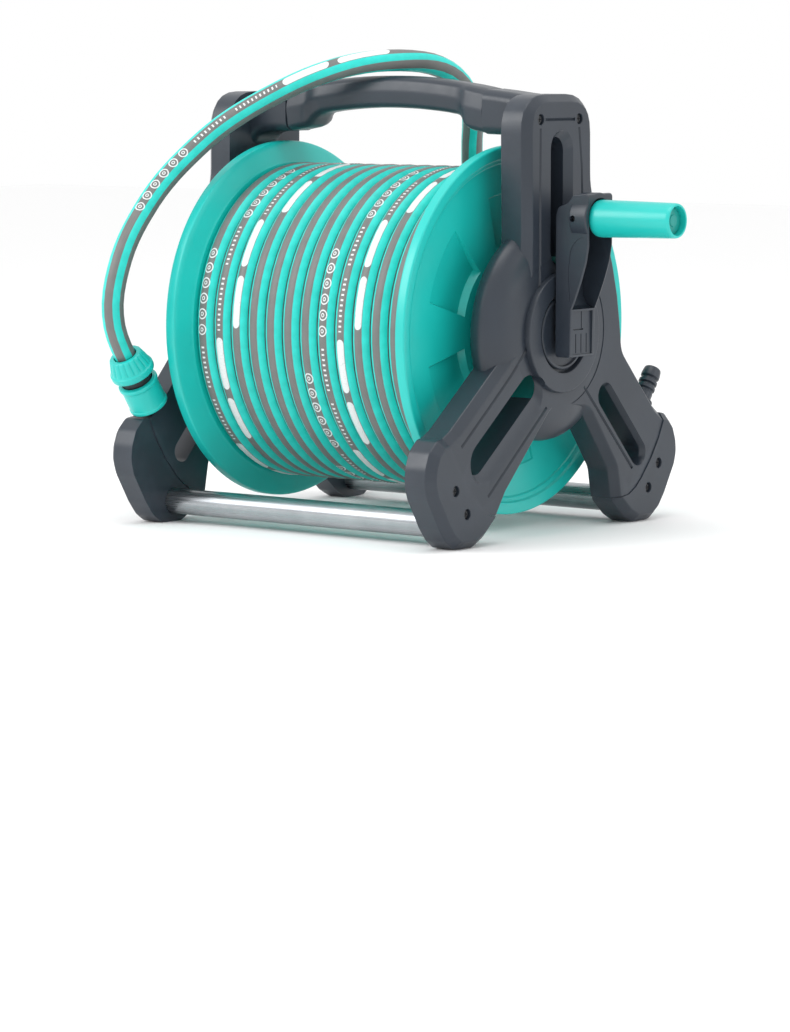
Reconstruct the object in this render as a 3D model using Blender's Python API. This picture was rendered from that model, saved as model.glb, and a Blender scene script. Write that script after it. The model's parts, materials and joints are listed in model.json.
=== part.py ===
"""Free-standing garden hose reel: two moulded A-frames, a crank-turned drum,
a folding crank grip, a swivelling water inlet and a hose that ends in a
quick connector parked on a nipple of the left frame.

Metres, +Z up. X runs along the drum's axle, the crank is at +X, and the
front is at -Y. Z = 0 is the ground. The two frames are one moulding, used
twice: the left one is the right one turned half a turn about Z.
"""
import math

import bpy
import bmesh
from mathutils import Matrix, Vector

# ---------------------------------------------------------------- clearances
TOUCH = 0.0003            # gap between pieces that rest on or meet each other
RUNNING = 0.0004          # radial gap between a turning piece and its bearing
SLIDE_GAP = 0.0005        # gap around a sliding or folding piece

# --------------------------------------------------------------------- frames
AXLE_Z = 0.199            # height of the drum's axle
FRAME_OUT = 0.203         # outer face of a frame, from the middle of the reel
FRAME_DEPTH = 0.032       # from the outer face to the open inner edge
FRAME_WALL = 0.0035
FRAME_CHAMFER = 0.007
UPRIGHT_HALF = 0.056      # half the width of the upright, along Y
FRAME_TOP = 0.431
TOP_RADIUS = 0.038
LOW_LEG_ANGLE = 38.0      # degrees below level, the flatter leg
LOW_LEG_CENTRE = -0.017   # how far its middle line passes above the axle
LOW_LEG_HALF = 0.054
STEEP_LEG_ANGLE = 47.0    # degrees below level, the steeper leg
STEEP_LEG_CENTRE = 0.019
STEEP_LEG_HALF = 0.048
HUB_R = 0.098             # round housing behind the meeting of the legs
HUB_INNER_X = 0.156       # its inner face, clear of the drum's flange
HUB_WALL = 0.005
BOSS_R = 0.058            # flat round boss on the outer face
BOSS_PROUD = 0.006
BOSS_RECESS_R = 0.038
BEARING_WALL = 0.006
UPRIGHT_SLOT_HALF = 0.016
UPRIGHT_SLOT_LOW = 0.268
UPRIGHT_SLOT_TOP = 0.392
LEG_SLOT_HALF = 0.0105
LEG_SLOT_NEAR = 0.070     # from the axle, along the leg
LEG_SLOT_LENGTH = 0.098
RIB = 0.003
RIB_PITCH = 0.045

# ------------------------------------------------------------------ foot caps
FOOT_REACH = 0.209        # outermost point of a foot, along Y
FOOT_WALL = 0.004
TONGUE_X = FRAME_OUT - 0.0145   # inner face of the frame's tongue inside a cap
TONGUE_THICK = 0.008
FOOT_SCREWS = ((0.1700, 0.0575), (0.1520, 0.0340))
SCREW_HEAD_R = 0.0046
SCREW_HEAD_H = 0.0022
SCREW_SHANK_R = 0.0021
SCREW_LENGTH = 0.0090

# ----------------------------------------------------------- tubes and handle
TUBE_Y = 0.1444
TUBE_Z = 0.0209
TUBE_R = 0.0130
TUBE_WALL = 0.0012
TUBE_END_X = FRAME_OUT - 0.0190
SOCKET_WALL = 0.0035
HANDLE_SEAM_X = 0.1240    # where the handle meets a frame's arm
HANDLE_COLLAR_X = 0.0860  # where its thicker end starts
HANDLE_MID_TOP = 0.4475
HANDLE_SEAM_TOP = 0.4355
HANDLE_GRIP_HEIGHT = 0.0320
HANDLE_COLLAR_HEIGHT = 0.0440
HANDLE_HALF_Y = 0.0180
COLLAR_HALF_Y = 0.0240
TOP_SCREWS = ((-0.0335, 0.4065), (0.0305, 0.4065))

# ----------------------------------------------------------------------- drum
FLANGE_R = 0.1820
FLANGE_LIP_X = HUB_INNER_X - 0.0060   # outer plane of a flange's rim
FLANGE_RIM = 0.0110       # width of the rim, along X
FLANGE_LIP = 0.0170       # radial depth of the rim's lip
FLANGE_WEB_X = FLANGE_LIP_X - 0.0180   # face of a flange that the hose lies against
FLANGE_WEB = 0.0030
CORE_R = 0.0940
CORE_WALL = 0.0030
CORE_SPIGOT = 0.0080      # how far a flange's spigot enters the core
DRUM_HUB_R = 0.0300
SHAFT_R = 0.0110
SHAFT_BORE_R = 0.0065
BUSH_WALL = 0.0030
PAD_COUNT = 6
PAD_INNER_R = 0.0840
PAD_OUTER_R = 0.1340
PAD_HALF_ANGLE = 19.0
PAD_HEIGHT = 0.0060

# ---------------------------------------------------------------------- crank
ARM_HALF_Y = 0.0205
ARM_BACK_GAP = 0.0020     # from the frame's boss to the back of the arm
ARM_FRONT_LOW = 0.0190    # thickness of the arm at its hub
ARM_FRONT_HIGH = 0.0410   # thickness of the arm round the grip
ARM_TOP_ABOVE_PIN = 0.0290
ARM_BELOW_AXLE = 0.0230
TROUGH_HALF_Y = 0.0188    # half the width of the trough that the grip folds into
TROUGH_FLOOR = 0.0035     # thickness of the arm behind the trough
TROUGH_LOW = 0.2240       # bottom end of the trough, from the ground
PIN_Z = 0.3115
PIN_FROM_BACK = 0.0230    # from the back of the arm to the grip's hinge pin
PIN_R = 0.0030
GRIP_BASE_R = 0.0178
GRIP_END_R = 0.0166
GRIP_LENGTH = 0.0930
GRIP_FROM_PIN = 0.0130    # from the pin to the grip's base
GRIP_BORE_R = 0.0060
GRIP_CUP_DEPTH = 0.0080
GRIP_CUP_R = 0.0135
KNUCKLE_R = 0.0085
KNUCKLE_HALF_Y = 0.0160
HUB_SPIGOT_R = 0.0085     # the shaft's end inside the arm
HUB_SPIGOT = 0.0100
HUB_PANEL = 0.0040        # depth of the recess over the arm's hub

# ---------------------------------------------------------------------- inlet
INLET_OUT = 0.0300        # from the left boss to the swivel's middle
INLET_BODY_R = 0.0160
INLET_ARM = 0.0430        # from the swivel's middle to the end of its tail
INLET_TAIL_R = 0.0105
INLET_BORE_R = 0.0062

# -------------------------------------------------------- nipple and connector
DOCK_TILT = 34.5          # degrees from upright
DOCK_X = FRAME_OUT - 0.0230
DOCK_Y = 0.1713           # the nipple's foot, on the steeper leg's upper edge
DOCK_Z = 0.1174
NIPPLE_R = 0.0085
NIPPLE_LENGTH = 0.0400
NIPPLE_RIDGE = 0.0013
CONNECTOR_R = 0.0200
CONNECTOR_GAP = 0.0022    # from the nipple's foot to the barrel's rim
BARREL_LENGTH = 0.0320
NECK_LENGTH = 0.0080
NECK_R = 0.0165
NUT_LENGTH = 0.0240
NUT_R = 0.0225
NUT_TOP_R = 0.0165
SLEEVE_TRAVEL = 0.0040

# ----------------------------------------------------------------------- hose
HOSE_R = 0.0110
HOSE_LAYERS = 3

LEFT = -1
RIGHT = 1
ROUND_STEPS = 24          # sides of an ordinary round piece
LARGE_STEPS = 48          # sides of the drum's round pieces
SMALL_STEPS = 12          # sides of a screw


# ============================================================== basic helpers
def clear_scene():
    for item in list(bpy.data.objects):
        bpy.data.objects.remove(item, do_unlink=True)


def material(name, colour, roughness, metallic=0.0):
    made = bpy.data.materials.new(name)
    made.use_nodes = True
    shader = made.node_tree.nodes["Principled BSDF"]
    shader.inputs["Base Color"].default_value = (*colour, 1.0)
    shader.inputs["Roughness"].default_value = roughness
    shader.inputs["Metallic"].default_value = metallic
    return made


def arc(centre, radius, start, end, steps):
    """Points on an arc in a plane; angles in degrees, anticlockwise."""
    points = []
    for i in range(steps + 1):
        angle = math.radians(start + (end - start) * i / steps)
        points.append((centre[0] + radius * math.cos(angle), centre[1] + radius * math.sin(angle)))
    return points


def inset(points, distance, fixed=()):
    """Move every side of an anticlockwise outline inwards, apart from the points named as fixed."""
    moved = []
    count = len(points)
    for i in range(count):
        before = Vector(points[i - 1])
        here = Vector(points[i])
        after = Vector(points[(i + 1) % count])
        first = (here - before).normalized()
        second = (after - here).normalized()
        normal_a = Vector((-first.y, first.x))
        normal_b = Vector((-second.y, second.x))
        share = 1.0 + normal_a.dot(normal_b)
        step = 0.0 if tuple(here) in fixed else distance / share
        moved.append(tuple(here + (normal_a + normal_b) * step))
    return moved


def anticlockwise(points):
    area = 0.0
    for i, here in enumerate(points):
        after = points[(i + 1) % len(points)]
        area += here[0] * after[1] - after[0] * here[1]
    return points if area > 0 else list(reversed(points))


def mirrored(points):
    """Mirror an outline in the plane Y = 0."""
    return anticlockwise([(-y, z) for y, z in points])


def skin(name, rings):
    """One closed mesh through rings of equal length, with flat ends."""
    mesh = bpy.data.meshes.new(name)
    shape = bmesh.new()
    loops = []
    for ring in rings:
        loops.append([shape.verts.new(point) for point in ring])
    shape.faces.new(list(reversed(loops[0])))
    shape.faces.new(loops[-1])
    count = len(loops[0])
    for low, high in zip(loops, loops[1:]):
        for i in range(count):
            j = (i + 1) % count
            shape.faces.new((low[i], low[j], high[j], high[i]))
    bmesh.ops.recalc_face_normals(shape, faces=shape.faces)
    shape.to_mesh(mesh)
    shape.free()
    return bpy.data.objects.new(name, mesh)


def prism(name, outline, x_low, x_high, chamfer=0.0, fixed=()):
    """An outline in Y and Z, extruded along X, with a chamfered outer edge."""
    outline = anticlockwise(outline)
    rings = [[(x_low, y, z) for y, z in outline]]
    if chamfer > 0:
        rings.append([(x_high - chamfer, y, z) for y, z in outline])
        outline = inset(outline, chamfer, fixed)
    rings.append([(x_high, y, z) for y, z in outline])
    return skin(name, rings)


def turned(name, profile, steps=ROUND_STEPS):
    """Turn a closed profile of (x, radius) points about the X axis."""
    mesh = bpy.data.meshes.new(name)
    shape = bmesh.new()
    rings = []
    for x, radius in profile:
        if radius < 1e-6:
            rings.append([shape.verts.new((x, 0, 0))])
            continue
        ring = []
        for i in range(steps):
            angle = 2 * math.pi * i / steps
            ring.append(shape.verts.new((x, radius * math.cos(angle), radius * math.sin(angle))))
        rings.append(ring)
    for here, after in zip(rings, rings[1:] + rings[:1]):
        join_rings(shape, here, after)
    bmesh.ops.recalc_face_normals(shape, faces=shape.faces)
    shape.to_mesh(mesh)
    shape.free()
    mesh.shade_smooth()
    mesh.set_sharp_from_angle(angle=math.radians(35))
    return bpy.data.objects.new(name, mesh)


def join_rings(shape, here, after):
    """Faces between two rings, or between a ring and a point on the axis."""
    steps = max(len(here), len(after))
    if steps == 1:
        return
    for i in range(steps):
        j = (i + 1) % steps
        if len(here) == 1:
            shape.faces.new((here[0], after[j], after[i]))
        elif len(after) == 1:
            shape.faces.new((here[i], here[j], after[0]))
        else:
            shape.faces.new((here[i], here[j], after[j], after[i]))


def rod(name, x_low, x_high, radius, steps=ROUND_STEPS):
    return turned(name, [(x_low, 0), (x_low, radius), (x_high, radius), (x_high, 0)], steps)


def sleeve(name, x_low, x_high, inner, outer, steps=ROUND_STEPS):
    profile = [(x_low, inner), (x_low, outer), (x_high, outer), (x_high, inner)]
    return turned(name, profile, steps)


def box(name, low, high):
    corners = [(low[1], low[2]), (high[1], low[2]), (high[1], high[2]), (low[1], high[2])]
    return prism(name, corners, low[0], high[0])


def put(item, parent=None, location=(0, 0, 0), rotation=(0, 0, 0), look=None):
    """Link an object to the scene at its place, with its material."""
    bpy.context.scene.collection.objects.link(item)
    item.parent = parent
    item.location = location
    item.rotation_euler = rotation
    if look is not None:
        item.data.materials.clear()
        item.data.materials.append(look)
    return item


def pivot(name, location, parent=None, rotation=(0, 0, 0)):
    """An empty on a joint's axis."""
    return put(bpy.data.objects.new(name, None), parent, location, rotation)


def tool(item, location=(0, 0, 0), rotation=(0, 0, 0), parent=None):
    """A cutter or an added shape: linked, but left out of renders."""
    put(item, parent, location, rotation)
    item.hide_render = True
    item.display_type = "WIRE"
    return item


def combine(item, other, operation):
    step = item.modifiers.new(operation.lower(), "BOOLEAN")
    step.operation = operation
    step.object = other
    step.solver = "EXACT"


def cut(item, *cutters):
    for cutter in cutters:
        combine(item, cutter, "DIFFERENCE")


def add(item, *others):
    for other in others:
        combine(item, other, "UNION")


# ============================================================= frame outlines
def leg_point(side, angle, along, above):
    """A point of a leg in (Y, Z): along it from the axle, and above the axle's line."""
    slope = math.radians(angle)
    y = side * (along * math.cos(slope) + above * math.sin(slope))
    z = AXLE_Z - along * math.sin(slope) + above * math.cos(slope)
    return y, z


def foot_outer():
    """The outside of a foot cap, on the +Y side, from its top to its heel."""
    top = [(0.1800, 0.1080), (0.1900, 0.1065), (0.2010, 0.0960)]
    side = [(FOOT_REACH - 0.0015, 0.0810), (FOOT_REACH, 0.0665), (FOOT_REACH - 0.0040, 0.0520)]
    sole = [(0.1865, 0.0220), (0.1760, 0.0090), (0.1640, 0.0015), (0.1560, 0.0)]
    heel = [(0.1340, 0.0), (0.1180, 0.0080), (0.0990, 0.0240)]
    return top + side + sole + heel


def foot_seam():
    """The seam between a leg and its foot cap, on the +Y side, from heel to top."""
    return [(0.1000, 0.0275), (0.1180, 0.0300), (0.1300, 0.0365), (0.1400, 0.0450),
            (0.1570, 0.0640), (0.1700, 0.0830), (0.1790, 0.1010)]


def frame_outline():
    """The outline of a frame in (Y, Z), anticlockwise: flatter leg at -Y, steeper at +Y."""
    corner = FRAME_TOP - TOP_RADIUS
    side = UPRIGHT_HALF - TOP_RADIUS
    points = arc((side, corner), TOP_RADIUS, 0, 90, 6)
    points += arc((-side, corner), TOP_RADIUS, 90, 180, 6)
    points += [(-UPRIGHT_HALF + 0.003, AXLE_Z + 0.101), (-UPRIGHT_HALF, AXLE_Z + 0.040)]
    upper = LOW_LEG_CENTRE + LOW_LEG_HALF
    lower = LOW_LEG_CENTRE - LOW_LEG_HALF
    points.append(leg_point(LEFT, LOW_LEG_ANGLE, 0.060, upper))
    points.append(leg_point(LEFT, LOW_LEG_ANGLE, 0.184, upper))
    points += [(-y, z) for y, z in reversed(foot_seam())]
    points.append(leg_point(LEFT, LOW_LEG_ANGLE, 0.158, lower))
    crotch_y = 0.003
    points.append(leg_point(LEFT, LOW_LEG_ANGLE, 0.070, lower))
    points.append((crotch_y, AXLE_Z - 0.087))
    upper = STEEP_LEG_CENTRE + STEEP_LEG_HALF
    lower = STEEP_LEG_CENTRE - STEEP_LEG_HALF
    points.append(leg_point(RIGHT, STEEP_LEG_ANGLE, 0.100, lower))
    points.append(leg_point(RIGHT, STEEP_LEG_ANGLE, 0.166, lower))
    points += foot_seam()
    points.append(leg_point(RIGHT, STEEP_LEG_ANGLE, 0.176, upper))
    points.append(leg_point(RIGHT, STEEP_LEG_ANGLE, 0.072, upper))
    points += [(0.1050, AXLE_Z + 0.018), (0.0960, AXLE_Z + 0.052), (0.0780, AXLE_Z + 0.090)]
    points.append((UPRIGHT_HALF + 0.002, AXLE_Z + 0.130))
    return points


def slot_outline(side, angle, near, length, centre, half):
    """A round-ended slot along a leg."""
    corners = []
    for along, turn in ((near + length, -90), (near, 90)):
        for i in range(7):
            swing = math.radians(turn + 30 * i)
            corners.append(leg_point(side, angle, along + half * math.cos(swing),
                                     centre + half * math.sin(swing)))
    return anticlockwise(corners)


def leg_slots(grow):
    low = slot_outline(LEFT, LOW_LEG_ANGLE, LEG_SLOT_NEAR, LEG_SLOT_LENGTH,
                       LOW_LEG_CENTRE + 0.009, LEG_SLOT_HALF + grow)
    steep = slot_outline(RIGHT, STEEP_LEG_ANGLE, LEG_SLOT_NEAR, LEG_SLOT_LENGTH - 0.014,
                         STEEP_LEG_CENTRE - 0.010, LEG_SLOT_HALF + grow)
    return low, steep


def upright_slot(grow):
    half = UPRIGHT_SLOT_HALF + grow
    top = UPRIGHT_SLOT_TOP + grow - half
    low = UPRIGHT_SLOT_LOW - grow + half
    return arc((0, top), half, 0, 180, 8) + arc((0, low), half, 180, 360, 8)


# ==================================================================== frames
def rib_plates(parent):
    """Stiffening ribs across the upright and both legs, joined to the moulding."""
    plates = []
    inner = FRAME_OUT - FRAME_DEPTH
    for i in range(3):
        level = AXLE_Z + 0.115 + i * RIB_PITCH
        plates.append(box("rib", (inner - 0.002, -0.1, level), (FRAME_OUT, 0.1, level + RIB)))
    for side, angle in ((LEFT, LOW_LEG_ANGLE), (RIGHT, STEEP_LEG_ANGLE)):
        for i in range(3):
            along = 0.105 + i * 0.8 * RIB_PITCH
            corners = [leg_point(side, angle, along, -0.09), leg_point(side, angle, along + RIB, -0.09),
                       leg_point(side, angle, along + RIB, 0.09), leg_point(side, angle, along, 0.09)]
            plates.append(prism("rib", corners, inner - 0.002, FRAME_OUT))
    for number, plate in enumerate(plates):
        plate.name = "rib_tool_%d" % number
        tool(plate, parent=parent)
    return plates


def tongue_outline():
    """The tongue of a leg that enters its foot cap, round the two screws, on the +Y side."""
    (y_a, z_a), (y_b, z_b) = FOOT_SCREWS
    run = Vector((y_b - y_a, z_b - z_a)).normalized()
    across = Vector((run.y, -run.x))
    if across.x > 0:
        across = -across
    start = Vector((y_a, z_a)) - run * 0.0065
    end = Vector((y_b, z_b)) + run * 0.0065
    outer = -0.0065
    reach = 0.022
    corners = [start + across * outer, end + across * outer, end + across * reach, start + across * reach]
    return anticlockwise([tuple(corner) for corner in corners])


def hub_housing(parent):
    """The round housing, its boss, recess and bearing, open towards the drum."""
    bearing_r = SHAFT_R + RUNNING + BUSH_WALL + TOUCH
    boss_face = FRAME_OUT + BOSS_PROUD
    cover = FRAME_OUT - HUB_WALL - 0.001
    profile = [(HUB_INNER_X, bearing_r), (HUB_INNER_X, bearing_r + BEARING_WALL),
               (cover, bearing_r + BEARING_WALL), (cover, HUB_R - 0.030), (cover - 0.009, HUB_R - 0.011),
               (FRAME_OUT - 0.020, HUB_R - HUB_WALL), (HUB_INNER_X, HUB_R - HUB_WALL - 0.001),
               (HUB_INNER_X, HUB_R - 0.003), (HUB_INNER_X + 0.003, HUB_R), (FRAME_OUT - 0.018, HUB_R),
               (FRAME_OUT - 0.009, HUB_R - 0.005), (FRAME_OUT - 0.003, HUB_R - 0.016),
               (FRAME_OUT - 0.001, BOSS_R), (boss_face - 0.001, BOSS_R),
               (boss_face, BOSS_R - 0.001), (boss_face, BOSS_RECESS_R), (FRAME_OUT, BOSS_RECESS_R),
               (FRAME_OUT, bearing_r)]
    return tool(turned("hub_tool", profile, 40), (0, 0, AXLE_Z), parent=parent)


def frame_shell(parent):
    """The frame moulding with its hub housing, handle arm, slots, pockets and ribs."""
    inner = FRAME_OUT - FRAME_DEPTH
    outline = frame_outline()
    seams = foot_seam()[1:-1]
    seams += [(-y, z) for y, z in seams]
    body = prism("frame_right", outline, inner, FRAME_OUT, FRAME_CHAMFER, seams)
    pocket = tool(prism("pocket_tool", inset(outline, FRAME_WALL), inner - 0.004,
                        FRAME_OUT - FRAME_WALL, FRAME_CHAMFER), parent=parent)
    for number, shape in enumerate((*leg_slots(FRAME_WALL), upright_slot(FRAME_WALL))):
        wall = tool(prism("slot_wall_tool_%d" % number, shape, inner - 0.010, FRAME_OUT), parent=parent)
        cut(pocket, wall)
    cut(pocket, *rib_plates(parent))
    for y, z in TOP_SCREWS:
        post = tool(rod("post_tool", inner - 0.010, FRAME_OUT, SCREW_SHANK_R + 0.004, SMALL_STEPS),
                    (0, y, z), parent=parent)
        cut(pocket, post)
    opening = rod("hub_opening_tool", inner - 0.020, FRAME_OUT + 0.020, HUB_R - 0.024, 36)
    # The opening's facets are turned a little, so that none lies on the housing's own edges.
    cut(body, pocket, tool(opening, (0, 0, AXLE_Z), (math.radians(1.3), 0, 0), parent))
    arm_low = HANDLE_SEAM_TOP - HANDLE_COLLAR_HEIGHT
    arm_ring = rounded_section(COLLAR_HALF_Y, arm_low, HANDLE_SEAM_TOP - 0.0006, 0.010)
    arm = tool(prism("arm_tool", arm_ring, HANDLE_SEAM_X + TOUCH, FRAME_OUT - 0.010), parent=parent)
    add(body, hub_housing(parent), arm, *tongues(parent))
    cut(body, *frame_openings(parent))
    return body


def tongues(parent):
    shapes = []
    for side, outline in ((RIGHT, tongue_outline()), (LEFT, mirrored(tongue_outline()))):
        name = "tongue_tool_%d" % side
        shapes.append(tool(prism(name, outline, TONGUE_X, TONGUE_X + TONGUE_THICK), parent=parent))
    return shapes


def frame_openings(parent):
    """Cutters for the slots and the screw holes."""
    inner = FRAME_OUT - FRAME_DEPTH
    far = FRAME_OUT + 0.02
    cutters = []
    for number, shape in enumerate((*leg_slots(0.0), upright_slot(0.0))):
        cutters.append(tool(prism("slot_tool_%d" % number, shape, inner - 0.02, far), parent=parent))
    for y, z in TOP_SCREWS:
        cutters.append(screw_hole(parent, y, z, FRAME_OUT))
    for side in (LEFT, RIGHT):
        for y, z in FOOT_SCREWS:
            hole = rod("screw_tool", TONGUE_X - 0.01, far, SCREW_SHANK_R + TOUCH, SMALL_STEPS)
            cutters.append(tool(hole, (0, side * y, z), parent=parent))
    return cutters


def screw_hole(parent, y, z, face):
    """A counterbored hole that takes one screw with a small gap all round."""
    profile = [(face - SCREW_LENGTH - 0.001, 0), (face - SCREW_LENGTH - 0.001, SCREW_SHANK_R + TOUCH),
               (face - SCREW_HEAD_H - TOUCH, SCREW_SHANK_R + TOUCH),
               (face - SCREW_HEAD_H - TOUCH, SCREW_HEAD_R + TOUCH), (face + 0.02, SCREW_HEAD_R + TOUCH),
               (face + 0.02, 0)]
    return tool(turned("counterbore_tool", profile, SMALL_STEPS), (0, y, z), parent=parent)


def screw(name, face):
    """A pan-head screw with a cross recess, its head flush with the face."""
    profile = [(face - SCREW_LENGTH, 0), (face - SCREW_LENGTH, SCREW_SHANK_R),
               (face - SCREW_HEAD_H, SCREW_SHANK_R), (face - SCREW_HEAD_H, SCREW_HEAD_R),
               (face - 0.0008, SCREW_HEAD_R), (face - 0.0002, SCREW_HEAD_R - 0.0008), (face - 0.0002, 0)]
    return turned(name, profile, SMALL_STEPS)


def foot_cap(name, parent, steep):
    """A hollow foot cap with a tube socket; steep picks the +Y side."""
    inner = FRAME_OUT - FRAME_DEPTH
    seam = [(y, z) for y, z in foot_seam()]
    outline = anticlockwise(foot_outer() + inset_open(seam, TOUCH * 1.5))
    # The hollow runs out past the seam, so that the leg's tongue can enter.
    hollow = foot_hollow()
    if not steep:
        outline = mirrored(outline)
        hollow = mirrored(hollow)
    side = RIGHT if steep else LEFT
    line = inset_open(seam, TOUCH * 1.5)
    tips = [foot_outer()[0], foot_outer()[-1]]
    fixed = [(side * y, z) for y, z in line + tips]
    cap = prism(name, outline, inner - 0.001, FRAME_OUT + 0.0015, FRAME_CHAMFER, fixed)
    pocket = tool(prism("cap_hollow_tool", hollow, inner - 0.01, FRAME_OUT - FOOT_WALL, FRAME_CHAMFER),
                  parent=parent)
    place = (0, side * TUBE_Y, TUBE_Z)
    socket_r = TUBE_R + TOUCH + SOCKET_WALL
    keep = tool(rod("socket_wall_tool", inner - 0.02, TUBE_END_X + SOCKET_WALL, socket_r),
                place, parent=parent)
    middle = side * TUBE_Y
    rib = box("socket_rib_tool", (inner - 0.02, middle - RIB / 2, -0.001), (FRAME_OUT, middle + RIB / 2, TUBE_Z))
    cut(pocket, keep, tool(rib, parent=parent))
    cut(cap, pocket)
    bore = tool(rod("socket_tool", inner - 0.02, TUBE_END_X + TOUCH, TUBE_R + TOUCH),
                place, parent=parent)
    cut(cap, bore)
    for y, z in FOOT_SCREWS:
        cut(cap, screw_hole(parent, side * y, z, FRAME_OUT + 0.0015))
    return cap


def inset_open(points, distance):
    """Shift an open line sideways, away from the leg."""
    moved = []
    for i, here in enumerate(points):
        before = Vector(points[max(i - 1, 0)])
        after = Vector(points[min(i + 1, len(points) - 1)])
        run = (after - before).normalized()
        moved.append((here[0] + run.y * distance, here[1] - run.x * distance))
    return moved


def foot_hollow():
    """The hollow of a cap: its outside less a wall, carried past the seam."""
    outer = foot_outer()
    walls = inset_open(list(reversed(outer)), -FOOT_WALL)
    walls = [point for point in reversed(walls)][2:-1]
    walls[-1] = (0.1240, 0.0125)
    past = [(0.1060, 0.0290), (0.1200, 0.0420), (0.1450, 0.0700), (0.1650, 0.0960), (0.1780, 0.0985)]
    return anticlockwise(walls + past)


# =================================================================== handle
def rounded_section(half_y, low, high, radius):
    """A rounded rectangle in (Y, Z), anticlockwise."""
    points = arc((half_y - radius, high - radius), radius, 0, 90, 4)
    points += arc((radius - half_y, high - radius), radius, 90, 180, 4)
    points += arc((radius - half_y, low + radius), radius, 180, 270, 4)
    points += arc((half_y - radius, low + radius), radius, 270, 360, 4)
    return points


def handle_body():
    """The arched carrying handle between the two frames."""
    rings = []
    stations = [0.0, 0.25, 0.5, 0.75, 1.0]
    ends = HANDLE_COLLAR_X
    half = [(ends * share, HANDLE_GRIP_HEIGHT, HANDLE_HALF_Y) for share in stations]
    half.append((ends + 0.004, HANDLE_COLLAR_HEIGHT - 0.002, COLLAR_HALF_Y))
    half.append((HANDLE_SEAM_X, HANDLE_COLLAR_HEIGHT, COLLAR_HALF_Y))
    both = [(-x, height, half_y) for x, height, half_y in reversed(half[1:])] + half
    for x, height, half_y in both:
        top = HANDLE_MID_TOP - (HANDLE_MID_TOP - HANDLE_SEAM_TOP) * (x / HANDLE_SEAM_X) ** 2
        section = rounded_section(half_y, top - height, top, 0.010)
        rings.append([(x, y, z) for y, z in section])
    return skin("handle", rings)


# ===================================================================== drum
def flange(name):
    """One drum flange, facing +X: web, dished rim with a lip, hub and spigot."""
    lip = FLANGE_LIP_X
    web_out = FLANGE_WEB_X + FLANGE_WEB
    spigot_r = CORE_R - CORE_WALL - TOUCH
    hub_out = HUB_INNER_X - 0.001
    rim_in = FLANGE_R - FLANGE_LIP
    profile = [(FLANGE_WEB_X - CORE_SPIGOT, spigot_r - 0.003), (FLANGE_WEB_X - CORE_SPIGOT, spigot_r),
               (FLANGE_WEB_X, spigot_r), (FLANGE_WEB_X, rim_in - 0.004), (lip - FLANGE_RIM, FLANGE_R - 0.003),
               (lip - FLANGE_RIM + 0.002, FLANGE_R), (lip - 0.002, FLANGE_R), (lip, FLANGE_R - 0.002),
               (lip, rim_in + 0.002), (lip - 0.003, rim_in), (web_out + 0.002, rim_in - 0.005),
               (web_out, rim_in - 0.010), (web_out, DRUM_HUB_R + 0.004), (web_out + 0.004, DRUM_HUB_R),
               (hub_out, DRUM_HUB_R - 0.001), (hub_out, SHAFT_R + TOUCH),
               (FLANGE_WEB_X - 0.030, SHAFT_R + TOUCH), (FLANGE_WEB_X - 0.030, SHAFT_R + 0.006),
               (FLANGE_WEB_X - 0.002, SHAFT_R + 0.006), (FLANGE_WEB_X - 0.002, spigot_r - 0.003)]
    return turned(name, profile, LARGE_STEPS)


def flange_pads(item, parent):
    """Raised pads on the flange's outer web, each one a wedge with sloping sides."""
    base = FLANGE_WEB_X + FLANGE_WEB - 0.001
    for number in range(PAD_COUNT):
        middle = 60.0 * number + 30.0
        rings = []
        for x, shrink in ((base, 0.0), (base + PAD_HEIGHT, 0.005)):
            inner = arc((0, 0), PAD_INNER_R + shrink, middle - PAD_HALF_ANGLE, middle + PAD_HALF_ANGLE, 5)
            outer_half = PAD_HALF_ANGLE - 5.0
            outer = arc((0, 0), PAD_OUTER_R - shrink, middle + outer_half, middle - outer_half, 5)
            rings.append([(x, y, z) for y, z in anticlockwise(inner + outer)])
        pad = tool(skin("pad_tool_%d" % number, rings), parent=parent)
        add(item, pad)


# ==================================================================== crank
def arm_side():
    """The side view of the crank arm in (X, Z), from the back of the arm and the axle."""
    pin = PIN_Z - AXLE_Z
    front_low = ARM_FRONT_LOW
    front_high = ARM_FRONT_HIGH
    low = TROUGH_LOW - AXLE_Z
    points = [(0.0, 0.002 - ARM_BELOW_AXLE), (0.002, -ARM_BELOW_AXLE), (front_low - 0.002, -ARM_BELOW_AXLE),
              (front_low, 0.002 - ARM_BELOW_AXLE), (front_low, low + 0.002), (front_low + 0.011, low + 0.027),
              (front_high - 0.002, pin - 0.022), (front_high, pin + ARM_TOP_ABOVE_PIN - 0.002),
              (front_high - 0.002, pin + ARM_TOP_ABOVE_PIN), (0.032, pin + 0.0255), (0.025, pin + 0.0205),
              (0.018, pin + 0.0135), (0.003, pin + 0.0105), (0.0, pin + 0.0050)]
    return points


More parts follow.
